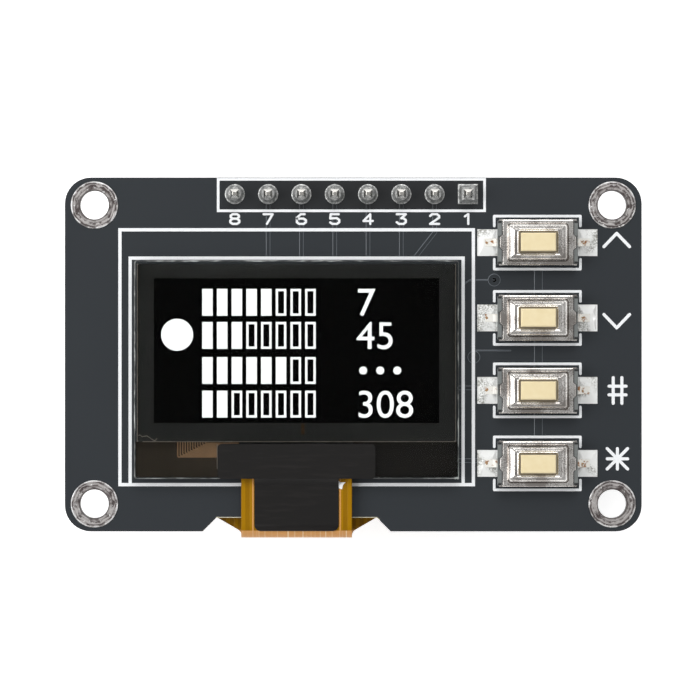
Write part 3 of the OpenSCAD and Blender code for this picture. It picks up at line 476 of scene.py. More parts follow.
for i, x in pin_x.items():
    sign(f"pin_number_{i}", [[(x + (u - 0.35) * NUMBER_W, NUMBER_FOOT + v * NUMBER_H) for u, v in path]
                             for path in DIGITS[i]], NUMBER_LINE)


# ------------------------------------------------- parts on the rear
# Reflow-soldered parts: a regulator and a diode moulded in black epoxy over tinned legs, ceramic
# capacitors and resistors with tinned ends, and the fillets of solder that hold them.

# Black epoxy moulding compound: silica-filled, matt and finely pitted. The pits, finer than 0.05 mm
# on a real one, are drawn coarser so that they show.
black_epoxy = clouded("black_epoxy_mould_compound", 0.07, 3.0, "#26272A", "#3A3B3E", {"Roughness": 0.6},
                      relief=(0.5, 0.02))
# Fired barium-titanate ceramic: tan, slightly mottled, with a waxy surface.
tan_ceramic = clouded("fired_tan_ceramic", 0.1, 3.0, "#B39A78", "#94795A", {"Roughness": 0.45})
# Overglaze on a resistor: a glossy blue-black glass with soft ripples.
dark_glaze = clouded("dark_resistor_overglaze", 0.3, 1.0, "#1B1D22", "#2B2E36", {"Roughness": 0.2},
                     relief=(0.3, 0.02))
# Electroplated tin on legs and end caps: satin silver, softly clouded.
plated_tin = clouded("electroplated_tin", 0.15, 3.0, "#A9AAA8", "#D9DAD8",
                     {"Metallic": 1.0, "Roughness": 0.3}, relief=(0.2, 0.01))

SOLDER_BRIGHT, SOLDER_GREY, SOLDER_DARK = "#EDEDEB", "#B9BAB9", "#8A8C8B"
FROST, RIDGE = 0.14, 0.45
# Lead-free solder: frosty grey where crystals froze on its skin, bright where it wetted cleanly.
frosty_solder, tree, place = start_material("frosty_lead_free_solder")
frost = add_node(tree, "ShaderNodeTexNoise", {"Vector": place, "Scale": cells_of(FROST), "Detail": 4.0,
                                              "Roughness": 0.6})
ridge = add_node(tree, "ShaderNodeTexNoise", {"Vector": place, "Scale": cells_of(RIDGE), "Detail": 2.0,
                                              "Distortion": 1.2})
dark = add_node(tree, "ShaderNodeMapRange", {0: ridge.outputs["Fac"], 1: 0.40, 2: 0.60})
ground = add_node(tree, "ShaderNodeMix", {0: dark.outputs[0], 6: linear(SOLDER_DARK), 7: linear(SOLDER_GREY)},
                  data_type="RGBA")
clean = add_node(tree, "ShaderNodeMapRange", {0: frost.outputs["Fac"], 1: 0.50, 2: 0.68})
colour = add_node(tree, "ShaderNodeMix", {0: clean.outputs[0], 6: ground.outputs[2],
                                          7: linear(SOLDER_BRIGHT)}, data_type="RGBA")
relief = add_node(tree, "ShaderNodeMath", {0: frost.outputs["Fac"], 1: 0.35, 2: ridge.outputs["Fac"]},
                  operation="MULTIPLY_ADD")
bump = add_node(tree, "ShaderNodeBump", {"Height": relief.outputs[0], "Strength": 0.45,
                                         "Distance": 0.10 * mm})
finish_material(tree, {"Base Color": colour.outputs[2], "Metallic": 0.75, "Roughness": 0.45,
                       "Normal": bump.outputs["Normal"]})
dress(black_epoxy, ["regulator_body", "diode_body"], soften=0.06)
dress(plated_tin, ["regulator_legs", "diode_legs"])
dress(plated_tin, ["metal_ends"], soften=0.03)
dress(tan_ceramic, ["capacitor_bodies"], soften=0.03)
dress(dark_glaze, ["resistor_bodies"], soften=0.02)
dress(frosty_solder, ["small_part_solder", "flex_solder"])

# Copper under the rear mask: from the tail's lands past the small parts to the header, and round to
# the switches.
BACK = board_low.z
parts_low, parts_high = ends("small_part_solder")
REAR_W, PAST_PIN = 0.3, 1.0
BEND_Y, SPACING = 4.0, 3.2
rear = []
for k in range(4):
    x, pin = parts_low.x + 0.6 + k * SPACING, pin_x[8 - k]
    rear.append([(x, parts_high.y - 0.3), (x, BEND_Y), (pin, BEND_Y + abs(x - pin)), (pin, pin_y - PAST_PIN)])
# Three of the switches' tracks run across in lanes and turn down with cut corners; the first drops
# straight from its pin.
CUT_CORNER, LANE_X, LANE_Y, TURN_IN = 0.7, 12.4, 8.5, 0.8
for k, y in enumerate(switch_y):
    pin, lane_x, lane_y = pin_x[k + 1], LANE_X - 0.8 * k, LANE_Y - 0.6 * k
    ahead = [(pin, lane_y + CUT_CORNER), (pin + CUT_CORNER, lane_y), (lane_x - CUT_CORNER, lane_y),
             (lane_x, lane_y - CUT_CORNER), (lane_x, y + TURN_IN)]
    start = [(pin, pin_y - PAST_PIN)] + (ahead if k else [(pin, y + TURN_IN)])
    rear.append(start + [(start[-1][0] + TURN_IN, y), (switch_x + 2.2, y)])
piece("rear_tracks_under_mask",
      [stroke(path, REAR_W, BACK - TRACK_STEP, BACK + UNDER, -TRACK_SLOPE) for path in rear],
      solder_mask)


# ------------------------------------------------- pin header
# Eight square brass pins pressed through a black nylon strip. The strip sits under the board, and
# the pins come up through it, where hand soldering left a cone round each.

# Glass-filled nylon: black, matt, with a faint flow grain from moulding.
black_nylon = clouded("glass_filled_black_nylon", 0.2, 3.0, "#1C1C1D", "#2C2C2E", {"Roughness": 0.5},
                      relief=(0.3, 0.02))
# Bright tin over nickel on drawn brass wire: long faint draw lines down each pin, a few hundredths of
# a millimetre wide and drawn coarser, at 0.05 mm, so that they show.
bright_pin = clouded("bright_tin_on_drawn_brass", 0.05, 2.0, "#B9B6B0", "#E6E4DF",
                     {"Metallic": 1.0, "Roughness": 0.25}, relief=(0.2, 0.01), stretch=(1.0, 1.0, 0.04))
dress(black_nylon, ["header_strip"], soften=0.08)
dress(bright_pin, [f"header_pin_{i}" for i in range(1, 9)], soften=0.04)
dress(frosty_solder, ["header_solder"])


# ------------------------------------------------- display: pad, glass and films
# Two sheets of 0.5 mm glass sealed face to face round a thin stack of light-emitting films, stuck
# to the board by a foam pad. The front sheet is longer, and its bare foot carries the driver chip.
FOAM_CELL = 0.09
# Closed-cell acrylic foam tape: dead black, with the cut cells showing at its edge. Real cells are
# a little smaller, and drawn coarser so that they show.
foam, tree, place = start_material("black_acrylic_foam")
cells = add_node(tree, "ShaderNodeTexVoronoi", {"Vector": place, "Scale": cells_of(FOAM_CELL)})
colour = add_node(tree, "ShaderNodeMix", {0: cells.outputs["Distance"], 6: linear("#2B2B2C"),
                                          7: linear("#151515")}, data_type="RGBA")
bump = add_node(tree, "ShaderNodeBump", {"Height": cells.outputs["Distance"], "Strength": 0.6,
                                         "Distance": 0.03 * mm})
finish_material(tree, {"Base Color": colour.outputs[2], "Roughness": 0.9, "Normal": bump.outputs["Normal"]})

# Display glass: clear drawn soda-lime sheet, faintly grey. It lies wetted between films, so nearly
# no light comes back from its faces, and its IOR is set low for that.
clear_glass, tree, place = start_material("clear_display_glass")
scribe = add_node(tree, "ShaderNodeTexNoise", {"Vector": place, "Scale": cells_of(0.4), "Detail": 2.0})
cut = add_node(tree, "ShaderNodeMapRange", {0: scribe.outputs["Fac"], 3: 0.0, 4: 0.06})
finish_material(tree, {"Base Color": linear("#F1F3F1"), "Roughness": cut.outputs[0], "IOR": 1.15,
                       "Transmission Weight": 1.0})

# Seal resin and the metal behind the border: a charcoal band, a little brown.
seal = clouded("charcoal_seal_resin", 1.2, 2.0, "#6E6E6D", "#787775",
               {"Roughness": 0.6, "Specular IOR Level": 0.1})

# Unlit dots: organic films over a black cathode, so nearly no light comes back.
DOT_PITCH = 0.17
unlit, tree, place = start_material("unlit_organic_films")
rows = add_node(tree, "ShaderNodeTexBrick", {"Vector": place, "Color1": linear("#030304"),
                                             "Color2": linear("#040405"), "Mortar": linear("#010101"),
                                             "Scale": 1.0, "Mortar Size": 0.02 * mm,
                                             "Brick Width": DOT_PITCH * mm, "Row Height": DOT_PITCH * mm},
                offset=0.0)
finish_material(tree, {"Base Color": rows.outputs["Color"], "Roughness": 0.5, "Specular IOR Level": 0.1})

# Polarizer: a stretched dyed film between clear layers, neutral grey. Its low-glare hard coat
# throws back little, which its low IOR gives.
polarizer, tree, place = start_material("circular_polarizer_film")
stretch = add_node(tree, "ShaderNodeTexNoise", {"Vector": place, "Scale": cells_of(6), "Detail": 1.0})
haze = add_node(tree, "ShaderNodeMapRange", {0: stretch.outputs["Fac"], 3: 0.05, 4: 0.12})
finish_material(tree, {"Base Color": linear("#A9AAAA"), "Roughness": haze.outputs[0], "IOR": 1.1,
                       "Transmission Weight": 1.0})

# Bare silicon: ground back of the chip, dark mirror grey with fine grinding arcs. Real ones are too
# fine to show, so they are drawn 0.2 mm apart.
silicon, tree, place = start_material("ground_silicon")
arcs = add_node(tree, "ShaderNodeTexWave", {"Vector": place, "Scale": bands_of(0.2), "Distortion": 2.0})
colour = add_node(tree, "ShaderNodeMix", {0: arcs.outputs["Fac"], 6: linear("#3C3D42"), 7: linear("#4A4B52")},
                  data_type="RGBA")
finish_material(tree, {"Base Color": colour.outputs[2], "Metallic": 0.6, "Roughness": 0.25})
dress(foam, ["adhesive_pad"])
dress(clear_glass, ["rear_glass"], soften=0.03)
dress(seal, ["seal_frame"])
dress(unlit, ["pixel_layer"])
dress(silicon, ["driver_chip"])


def block(x0, x1, y0, y1, low, high):
    """A straight-sided block between two corners."""
    return stacked([[(x0, y0, z), (x1, y0, z), (x1, y1, z), (x0, y1, z)] for z in (low, high)])


def edge_walk(low, high, corner, step):
    """Points round a rectangle, spaced by about step, with cut corners."""
    left, right = low.x + corner, high.x - corner
    corners = [(left, low.y), (right, low.y), (high.x, low.y + corner), (high.x, high.y - corner),
               (right, high.y), (left, high.y), (low.x, high.y - corner), (low.x, low.y + corner)]
    around = []
    for (x0, y0), (x1, y1) in zip(corners, corners[1:] + corners[:1]):
        count = max(1, round(math.hypot(x1 - x0, y1 - y0) / step))
        around += [(x0 + (x1 - x0) * k / count, y0 + (y1 - y0) * k / count) for k in range(count)]
    return around


def inset(around, middle, amounts):
    """The same points, drawn in from the sides they lie on."""
    return [(x - math.copysign(a, x - middle[0]), y - math.copysign(a, y - middle[1]))
            for (x, y), a in zip(around, amounts)]


# The electrodes' flat margin round the field of dots, and the strip where they meet at its foot.
dots_low, dots_high = ends("pixel_layer")
seal_low, seal_high = ends("seal_frame")
SEAL_W, MARGIN_T, MARGIN_GAP = 0.5, 0.012, 0.01
inner_left, inner_right = seal_low.x + SEAL_W, seal_high.x - SEAL_W
inner_foot, inner_top = seal_low.y + SEAL_W, seal_high.y - SEAL_W
left, right = dots_low.x - MARGIN_GAP, dots_high.x + MARGIN_GAP
foot, top = dots_low.y - MARGIN_GAP, dots_high.y + MARGIN_GAP
margin_z = dots_high.z - MARGIN_T
piece("electrode_margin",
      [block(inner_left, inner_right, inner_foot, foot, margin_z, dots_high.z),
       block(inner_left, inner_right, top, inner_top, margin_z, dots_high.z),
       block(inner_left, left, foot, top, margin_z, dots_high.z),
       block(right, inner_right, foot, top, margin_z, dots_high.z)], seal)

# Snapped glass: frosted along the cut, with pale flecks of painted glint in an uneven silvery line.
frosted_and_glint = clouded("frosted_glass_edge_and_painted_glint", 1.4, 3.0, "#4B4D4C", "#D4D9D6", {"Roughness": 0.3},
                  limits=(0.45, 0.72))

# The scribed and snapped edge of the front sheet is chipped, so its chamfer wanders along the cut. A
# gap too thin to show keeps the sheet's faces off those of the film and the seal.
SHEET_GAP, CHAMFER, CHIP, CHIP_SPACING = 0.006, 0.065, 0.035, 0.45
chips = random.Random(4)
around = edge_walk(glass_low, glass_high, 0.12, CHIP_SPACING)
middle = ((glass_low.x + glass_high.x) / 2, (glass_low.y + glass_high.y) / 2)
wander = [CHAMFER + chips.uniform(-CHIP, CHIP) for _ in around]
chamfered = inset(around, middle, wander)
sheet_low, sheet_high = glass_low.z + SHEET_GAP, glass_high.z - SHEET_GAP
rings = [[(x, y, z) for x, y in ring]
         for ring, z in ((chamfered, sheet_low), (around, sheet_low + 0.04), (around, sheet_high - 0.05),
                         (chamfered, sheet_high))]
sheet = piece("front_glass_sheet", [stacked(rings)], clear_glass)
# The sheet's cut sides take the frosted material with its painted glint.
sheet.data.materials.append(frosted_and_glint)
for face in sheet.data.polygons[2:]:
    face.material_index = 1
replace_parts(sheet, "front_glass")

film_low, film_high = ends("polarizer")
FILM_BEVEL = 0.03
around = edge_walk(film_low, film_high, 0.1, 6)
middle = ((film_low.x + film_high.x) / 2, (film_low.y + film_high.y) / 2)
rings = [[(x, y, z) for x, y in inset(around, middle, [a] * len(around))]
         for a, z in ((0, film_low.z), (0, film_high.z - FILM_BEVEL), (FILM_BEVEL, film_high.z))]
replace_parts(piece("polarizer_sheet", [stacked(rings)], polarizer), "polarizer")

# Optical glue that crept out from under the film: a thin pale bead along its foot and sides, another
# beside the tape, and a crinkled thread on the film. Their pale colour is partly a painted highlight
# along those edges.
glue_and_glint = clouded("dried_optical_glue_and_painted_glint", 0.6, 2.0, "#2E2B28", "#8C8376", {"Roughness": 0.35})
BEAD_W, THREAD_W, BEAD_H, BEAD_OUT, INTO_GLASS = 0.07, 0.05, 0.03, 0.02, 0.004
tape_low, tape_high = ends("shield_tape")
foot, left, right = film_low.y - BEAD_OUT, film_low.x - BEAD_OUT, film_high.x + BEAD_OUT
beads = [[(film_low.x + 0.4, foot), (film_high.x, foot)],
         [(right, film_low.y), (right, film_high.y)],
         [(left, film_low.y), (left, film_high.y)]]
beside_tape = [(tape_low.x - 0.03, film_low.y - 0.25), (tape_low.x - 0.03, glass_low.y + 0.75)]
thread = [(-16.33, -6.15), (-16.2, -6.11), (-16.04, -6.26), (-15.68, -6.17), (-15.32, -6.44), (-15.08, -6.56),
          (-14.92, -6.38)]
bead_low, bead_high = glass_high.z - INTO_GLASS, glass_high.z + BEAD_H
solids = [stroke(path, BEAD_W, bead_low, bead_high, 0.02) for path in beads]
solids.append(stroke(beside_tape, THREAD_W, bead_low, bead_high, 0.01))
solids.append(stroke(thread, THREAD_W, film_high.z - 0.01, film_high.z + 0.012, 0.01))
# Pale beads: glue, partly a painted highlight along the edges.
piece("glue_beads_and_glints", solids, glue_and_glint)

# A flake of set silver paste, squeezed out at the corner of the tape: chalky, nearly white.
paste = clouded("set_silver_paste", 0.15, 2.0, "#F4F5F6", "#FFFFFF", {"Roughness": 0.5})
flake = [(-1.18, -10.16), (-0.86, -10.26), (-0.78, -9.94), (-0.58, -9.72), (-1.02, -9.74), (-1.18, -9.50)]
flake_low, flake_high = tail_high.z - 0.004, tail_high.z + 0.02
piece("paste_flake", [stacked([[(x, y, z) for x, y in flake] for z in (flake_low, flake_high)])], paste)

# Painted highlight: a pale line along the foot's cut edge. Bigger chips of painted glint lie at its
# corner and beside the tape.
EDGE_W, EDGE_IN = 0.055, 0.03
foot_y, side_x, lip_z = glass_low.y + EDGE_IN, glass_high.x - EDGE_IN, sheet_high
glint_lines = [[(glass_low.x + 0.15, foot_y), (tape_low.x - 0.05, foot_y)],
         [(tape_high.x + 0.05, foot_y), (side_x - 0.1, foot_y)],
         [(side_x, foot_y + 0.35), (side_x, film_low.y - 0.3)]]
GLINT_CHIPS = [(side_x - 0.05, foot_y + 0.02, 0.11), (side_x - 0.24, foot_y + 0.01, 0.09),
         (tape_high.x + 0.25, foot_y + 0.02, 0.09), (tape_high.x + 0.75, foot_y + 0.02, 0.08)]
solids = [stroke(path, EDGE_W, lip_z - 0.05, lip_z + 0.002, 0.01) for path in glint_lines]
for x, y, w in GLINT_CHIPS:
    profile = [(0.004, lip_z - 0.06), (w, lip_z - 0.05), (w * 0.7, lip_z + 0.001), (0.004, lip_z + 0.003)]
    solids.append(turned((x, y), profile, 7))
piece("painted_edge_glints", solids, frosted_and_glint)

# Painted shade under the foot of the glass, on both sides of the tail: a dark sheet standing for the
# shade between the glass and the board, brown towards the left and darker towards the right.
shade_under_foot, tree, place = start_material("painted_shade_under_glass_foot")
smear = add_node(tree, "ShaderNodeTexNoise", {"Vector": place, "Scale": cells_of(1.5), "Detail": 2.0})
spot = add_node(tree, "ShaderNodeSeparateXYZ", {0: place})
darker_to_right = add_node(tree, "ShaderNodeMapRange", {0: spot.outputs["X"], 1: -6 * mm, 2: -2 * mm, 3: 0.0, 4: 0.8})
darkness = add_node(tree, "ShaderNodeMath", {0: smear.outputs["Fac"], 1: 0.2, 2: darker_to_right.outputs[0]},
                 operation="MULTIPLY_ADD")
colour = add_node(tree, "ShaderNodeMix", {0: darkness.outputs[0], 6: linear("#332B22"), 7: linear("#151312")},
                  data_type="RGBA")
finish_material(tree, {"Base Color": colour.outputs[2], "Roughness": 0.5, "Specular IOR Level": 0.1})
# Metal tracks sputtered on the glass: thin enough to look tan, with a dull shine.
thin_metal = clouded("sputtered_metal_tracks", 1.0, 1.0, "#7A5A3E", "#97724F",
                     {"Metallic": 0.2, "Roughness": 0.45})
NECK_LEFT, NECK_RIGHT, BESIDE = -8.54, -0.10, 0.1
SHADE_SHEET_T, SHADE_SHEET_GAP = 0.05, 0.012
under, shade_sheet_foot, shade_sheet_top = glass_low.z, glass_low.y + 0.12, film_low.y - 0.02
sides = [(glass_low.x + BESIDE, NECK_LEFT - BESIDE), (NECK_RIGHT + BESIDE, glass_high.x - BESIDE)]
# A dark sheet of painted shade under the glass's foot.
piece("painted_shade_under_foot",
      [block(x0, x1, shade_sheet_foot, shade_sheet_top, under - SHADE_SHEET_T, under - SHADE_SHEET_GAP) for x0, x1 in sides],
      shade_under_foot)
# Twelve tracks fan out under the glass from the neck, each turning up to the seal with a cut corner.
FAN_PITCH, FAN_W, FAN_FOOT, FAN_TURN, FAN_STEP, FAN_CORNER = 0.095, 0.088, -7.80, -13.36, 0.19, 0.05
FAN_LOW, FAN_HIGH = under - 0.011, under - 0.002
fan = []
for k in range(12):
    y, turn_x = FAN_FOOT + FAN_PITCH * k, FAN_TURN + FAN_STEP * k
    fan.append([(NECK_LEFT - 0.2, y), (turn_x + FAN_CORNER, y), (turn_x, y + FAN_CORNER),
                (turn_x, film_low.y - 0.03)])
piece("foot_tracks", [stroke(path, FAN_W, FAN_LOW, FAN_HIGH, 0.002) for path in fan], thin_metal)
JOIN_LEFT, JOIN_RIGHT = -3.97, -3.71
piece("electrode_join", [block(JOIN_LEFT, JOIN_RIGHT, inner_foot + 0.02, dots_low.y - 0.03,
                               dots_high.z + 0.001, dots_high.z + 0.004)], thin_metal)


def number(name, text, height, x, y, low, high, material):
    """A plain number of that height, standing from low to high, with its foot's left end at x, y."""
    line = bpy.data.curves.new(name, "FONT")
    line.body, line.align_x, line.size = text, "LEFT", 1.0
    shape = bpy.data.objects.new(name + "_line", line)
    bpy.context.scene.collection.objects.link(shape)
    ready = shape.evaluated_get(bpy.context.evaluated_depsgraph_get())
    mesh = bpy.data.meshes.new_from_object(ready)
    tall = max(v.co.y for v in mesh.vertices)
    scale = height / tall
    flat = [(v.co.x * scale + x, v.co.y * scale + y) for v in mesh.vertices]
    count = len(flat)
    rims = {}
    for face in mesh.polygons:
        for a, b in face.edge_keys:
            rims[(a, b)] = rims.get((a, b), 0) + 1
    points = [(px, py, low) for px, py in flat] + [(px, py, high) for px, py in flat]
    faces = []
    for face in mesh.polygons:
        corners = list(face.vertices)
        faces.append(tuple(c + count for c in corners))
        faces.append(tuple(corners[::-1]))
        for a, b in zip(corners, corners[1:] + corners[:1]):
            if rims[tuple(sorted((a, b)))] == 1:
                faces.append((a, b, b + count, a + count))
    bpy.data.objects.remove(shape)
    return piece(name, [(points, faces)], material)


# Lit dots: the films glow cool white, seen through the grey polarizer, with a faint dark grid between.
LIT, GLOW = "#FFFFFF", 3.2
lit, tree, place = start_material("lit_organic_films")
dots = add_node(tree, "ShaderNodeTexBrick", {"Vector": place, "Color1": linear(LIT), "Color2": linear(LIT),
                                             "Mortar": linear("#E6E9EC"), "Scale": 1.0,
                                             "Mortar Size": 0.01 * mm, "Brick Width": DOT_PITCH * mm,
                                             "Row Height": DOT_PITCH * mm}, offset=0.0)
finish_material(tree, {"Base Color": linear("#101010"), "Emission Color": dots.outputs["Color"],
                       "Emission Strength": GLOW, "Roughness": 0.6})
LIT_LOW, LIT_HIGH = dots_high.z - 0.004, dots_high.z + 0.006


def disc(x, y, radius, steps):
    """A flat round of lit dots."""
    turns = [k * math.tau / steps for k in range(steps)]
    return stacked([[(x + radius * math.cos(a), y + radius * math.sin(a), z) for a in turns]
                    for z in (LIT_LOW, LIT_HIGH)])


def hollow(x0, x1, y0, y1, line):
    """The four sides of a lit frame, as blocks that meet at the corners."""
    return [block(x0, x1, y0, y0 + line, LIT_LOW, LIT_HIGH), block(x0, x1, y1 - line, y1, LIT_LOW, LIT_HIGH),
            block(x0, x0 + line, y0 + line, y1 - line, LIT_LOW, LIT_HIGH),
            block(x1 - line, x1, y0 + line, y1 - line, LIT_LOW, LIT_HIGH)]


# Four rows: each has a gauge of eight cells, filled up to its level, and a number, or three dots where
# the row has none. A round pointer stands before them.
ROWS, LEVELS, ROW_H = (3.97, 1.45, -1.22, -3.78), (5, 3, 6, 2), 2.04
GAUGE_X, CELL_W, CELL_PITCH, CELL_COUNT, LINE, TEXT_X = -11.50, 0.80, 1.12, 8, 0.17, 0.22
POINTER_X, POINTER_Y, POINTER_R, DOT_R = -13.41, 1.50, 1.22, 0.3
piece("lit_pointer", [disc(POINTER_X, POINTER_Y, POINTER_R, 48)], lit)
for row, (y, level) in enumerate(zip(ROWS, LEVELS), 1):
    low_y, high_y = y - ROW_H / 2, y + ROW_H / 2
    cells = []
    for i in range(CELL_COUNT):
        x = GAUGE_X + i * CELL_PITCH
        cells += ([block(x, x + CELL_W, low_y, high_y, LIT_LOW, LIT_HIGH)] if i < level
                  else hollow(x, x + CELL_W, low_y, high_y, LINE))
    piece(f"lit_gauge_{row}", cells, lit)
for row, text in ((1, "7"), (2, "45"), (4, "308")):
    number(f"lit_number_{row}", text, ROW_H, TEXT_X, ROWS[row - 1] - ROW_H / 2, LIT_LOW, LIT_HIGH, lit)
piece("lit_number_3", [disc(x, ROWS[2], DOT_R, 24) for x in (0.75, 2.05, 3.35)], lit)


# ------------------------------------------------- flexible tail and its tape
# A polyimide film with copper tracks, bonded to the glass's foot, bent round the notch in the
# board's edge and soldered to the rear. Black tape shields its bonded end.
AMBER, AMBER_DEEP, AMBER_TRACK, BEND_SHEEN = "#996E00", "#8A6000", "#A47600", "#D89E61"
TRACK_PITCH, FINGER_W, MOTTLE = 0.62, 0.35, 0.8
# A guard track runs down each side of the neck, beside the tape, and shows as a rosy line. The bend
# is creased along the neck, and its creases are drawn as pale lines of painted highlight.
GUARD, CREASE_HIGHLIGHT, NECK_MIDDLE, GUARD_AT, GUARD_HALF = "#D59A58", "#F2D8B2", -4.32, 3.32, 0.06
BEND_FROM, CREASE = -13.38, 0.22
# Polyimide film over copper: clear amber, paler where copper lies under it. A painted sheen turns the
# tight bend pale peach.
polyimide, tree, place = start_material("amber_polyimide_film")
spot = add_node(tree, "ShaderNodeSeparateXYZ", {0: place})
first_finger = (TRACK_PITCH - FINGER_W) / 2 * mm - ends("flex_solder")[0].x * mm
from_finger = add_node(tree, "ShaderNodeMapping", {0: place, 1: (first_finger, 0, 0)})
lines = add_node(tree, "ShaderNodeTexWave", {"Vector": from_finger.outputs[0], "Scale": bands_of(TRACK_PITCH),
                                             "Distortion": 0.0}, bands_direction="X", wave_profile="SIN")
over_track = add_node(tree, "ShaderNodeMapRange", {0: lines.outputs["Fac"], 1: 0.45, 2: 0.65})
mottle = add_node(tree, "ShaderNodeTexNoise", {"Vector": place, "Scale": cells_of(MOTTLE), "Detail": 2.0})
film = add_node(tree, "ShaderNodeMix", {0: mottle.outputs["Fac"], 6: linear(AMBER_DEEP), 7: linear(AMBER)},
                data_type="RGBA")
tracked = add_node(tree, "ShaderNodeMix", {0: over_track.outputs[0], 6: film.outputs[2],
                                           7: linear(AMBER_TRACK)}, data_type="RGBA")
off_middle = add_node(tree, "ShaderNodeMath", {0: spot.outputs["X"], 1: -NECK_MIDDLE * mm}, operation="ADD")
aside = add_node(tree, "ShaderNodeMath", {0: off_middle.outputs[0]}, operation="ABSOLUTE")
off_guard = add_node(tree, "ShaderNodeMath", {0: aside.outputs[0], 1: -GUARD_AT * mm}, operation="ADD")
from_guard = add_node(tree, "ShaderNodeMath", {0: off_guard.outputs[0]}, operation="ABSOLUTE")
guard = add_node(tree, "ShaderNodeMapRange", {0: from_guard.outputs[0], 1: (GUARD_HALF + 0.01) * mm,
                                              2: (GUARD_HALF - 0.01) * mm})
guarded = add_node(tree, "ShaderNodeMix", {0: guard.outputs[0], 6: tracked.outputs[2], 7: linear(GUARD)},
                   data_type="RGBA")
only_x = add_node(tree, "ShaderNodeMapping", {0: place, 3: (1.0, 0.0, 0.0)})
crease = add_node(tree, "ShaderNodeTexNoise", {"Vector": only_x.outputs[0], "Scale": cells_of(CREASE),
                                               "Detail": 2.0})
crease_highlights = add_node(tree, "ShaderNodeMapRange", {0: crease.outputs["Fac"], 1: 0.56, 2: 0.66})
sheened_bend = add_node(tree, "ShaderNodeMix", {0: crease_highlights.outputs[0], 6: linear(BEND_SHEEN), 7: linear(CREASE_HIGHLIGHT)},
                 data_type="RGBA")
# Painted sheen: pale peach past the start of the bend, with crease highlights.
bend = add_node(tree, "ShaderNodeMapRange", {0: spot.outputs["Y"], 1: BEND_FROM * mm,
                                             2: (BEND_FROM - 0.08) * mm})
colour = add_node(tree, "ShaderNodeMix", {0: bend.outputs[0], 6: guarded.outputs[2], 7: sheened_bend.outputs[2]},
                  data_type="RGBA")
bump = add_node(tree, "ShaderNodeBump", {"Height": over_track.outputs[0], "Strength": 0.4,
                                         "Distance": 0.03 * mm})
finish_material(tree, {"Base Color": colour.outputs[2], "Roughness": 0.35, "Specular IOR Level": 0.14,
                       "Normal": bump.outputs["Normal"]})

# Black polyester tape: smooth satin film, creased by faint streaks where it was rubbed down.
tape = clouded("black_polyester_tape", 0.3, 3.0, "#110F0E", "#1C1918",
               {"Roughness": 0.42, "Specular IOR Level": 0.32}, limits=(0.5, 0.75), relief=(0.3, 0.03),
               stretch=(0.12, 1.0, 1.0))
dress(polyimide, ["flex_tail"])
dress(tape, ["shield_tape"], soften=0.015)


# ------------------------------------------------- push switches
# Each is a grey moulded base with a spring dome under a cream plunger, closed by a pressed steel
# cover. Its two contacts come out at the sides and are soldered to the lands.
BASE_GREY, BASE_PALE, SLIT_SHADE = "#686C6B", "#808483", "#141516"
BASE_SIZE = ends("switch_base_1")[1] - ends("switch_base_1")[0]
# The cover's rim, half its length and width, and the tab that stands out from the middle of each end.
RIM_HALF_X, RIM_HALF_Y, TAB_OUT, TAB_HALF, TAB_ROOT = 2.70, 1.76, 0.2, 0.425, 0.585
# The slit's width each way, and where the base's corners begin to darken with painted shade.
SLIT, CORNER_X, CORNER_Y = 0.07, 2.74, 1.42
# Heat-proof grey plastic, moulded: satin, with a fine flow grain. Painted shade turns its top faces
# black in the slit along the cover's ends and in the four corners.
grey_moulding, tree, place = start_material("grey_heatproof_moulding")
flow = add_node(tree, "ShaderNodeTexNoise", {"Vector": place, "Scale": cells_of(0.15), "Detail": 3.0})
clean = add_node(tree, "ShaderNodeMix", {0: flow.outputs["Fac"], 6: linear(BASE_GREY), 7: linear(BASE_PALE)},
                 data_type="RGBA")
own = add_node(tree, "ShaderNodeTexCoord")
centred = add_node(tree, "ShaderNodeVectorMath", {0: own.outputs["Generated"], 1: (0.5, 0.5, 0.5)},
                   operation="SUBTRACT")
folded = add_node(tree, "ShaderNodeVectorMath", {0: centred.outputs[0]}, operation="ABSOLUTE")
measured = add_node(tree, "ShaderNodeVectorMath", {0: folded.outputs[0], 1: tuple(BASE_SIZE)},
                    operation="MULTIPLY")
from_middle = add_node(tree, "ShaderNodeSeparateXYZ", {0: measured.outputs[0]})
tab = add_node(tree, "ShaderNodeMapRange", {0: from_middle.outputs["Y"], 1: TAB_ROOT, 2: TAB_HALF,
                                            3: RIM_HALF_X, 4: RIM_HALF_X + TAB_OUT})
past_cover = add_node(tree, "ShaderNodeMath", {0: from_middle.outputs["X"], 1: tab.outputs[0]},
                      operation="SUBTRACT")
off_slit = add_node(tree, "ShaderNodeMath", {0: past_cover.outputs[0]}, operation="ABSOLUTE")
slit = add_node(tree, "ShaderNodeMapRange", {0: off_slit.outputs[0], 1: SLIT, 2: SLIT / 2})
outer_x = add_node(tree, "ShaderNodeMapRange", {0: from_middle.outputs["X"], 1: CORNER_X, 2: CORNER_X + 0.06})
outer_y = add_node(tree, "ShaderNodeMapRange", {0: from_middle.outputs["Y"], 1: CORNER_Y, 2: CORNER_Y + 0.08})
corner = add_node(tree, "ShaderNodeMath", {0: outer_x.outputs[0], 1: outer_y.outputs[0]},
                  operation="MULTIPLY")
shade_places = add_node(tree, "ShaderNodeMath", {0: slit.outputs[0], 1: corner.outputs[0]}, operation="MAXIMUM")
facing = add_node(tree, "ShaderNodeSeparateXYZ", {0: own.outputs["Normal"]})
on_top = add_node(tree, "ShaderNodeMapRange", {0: facing.outputs["Z"], 1: 0.6, 2: 0.9})
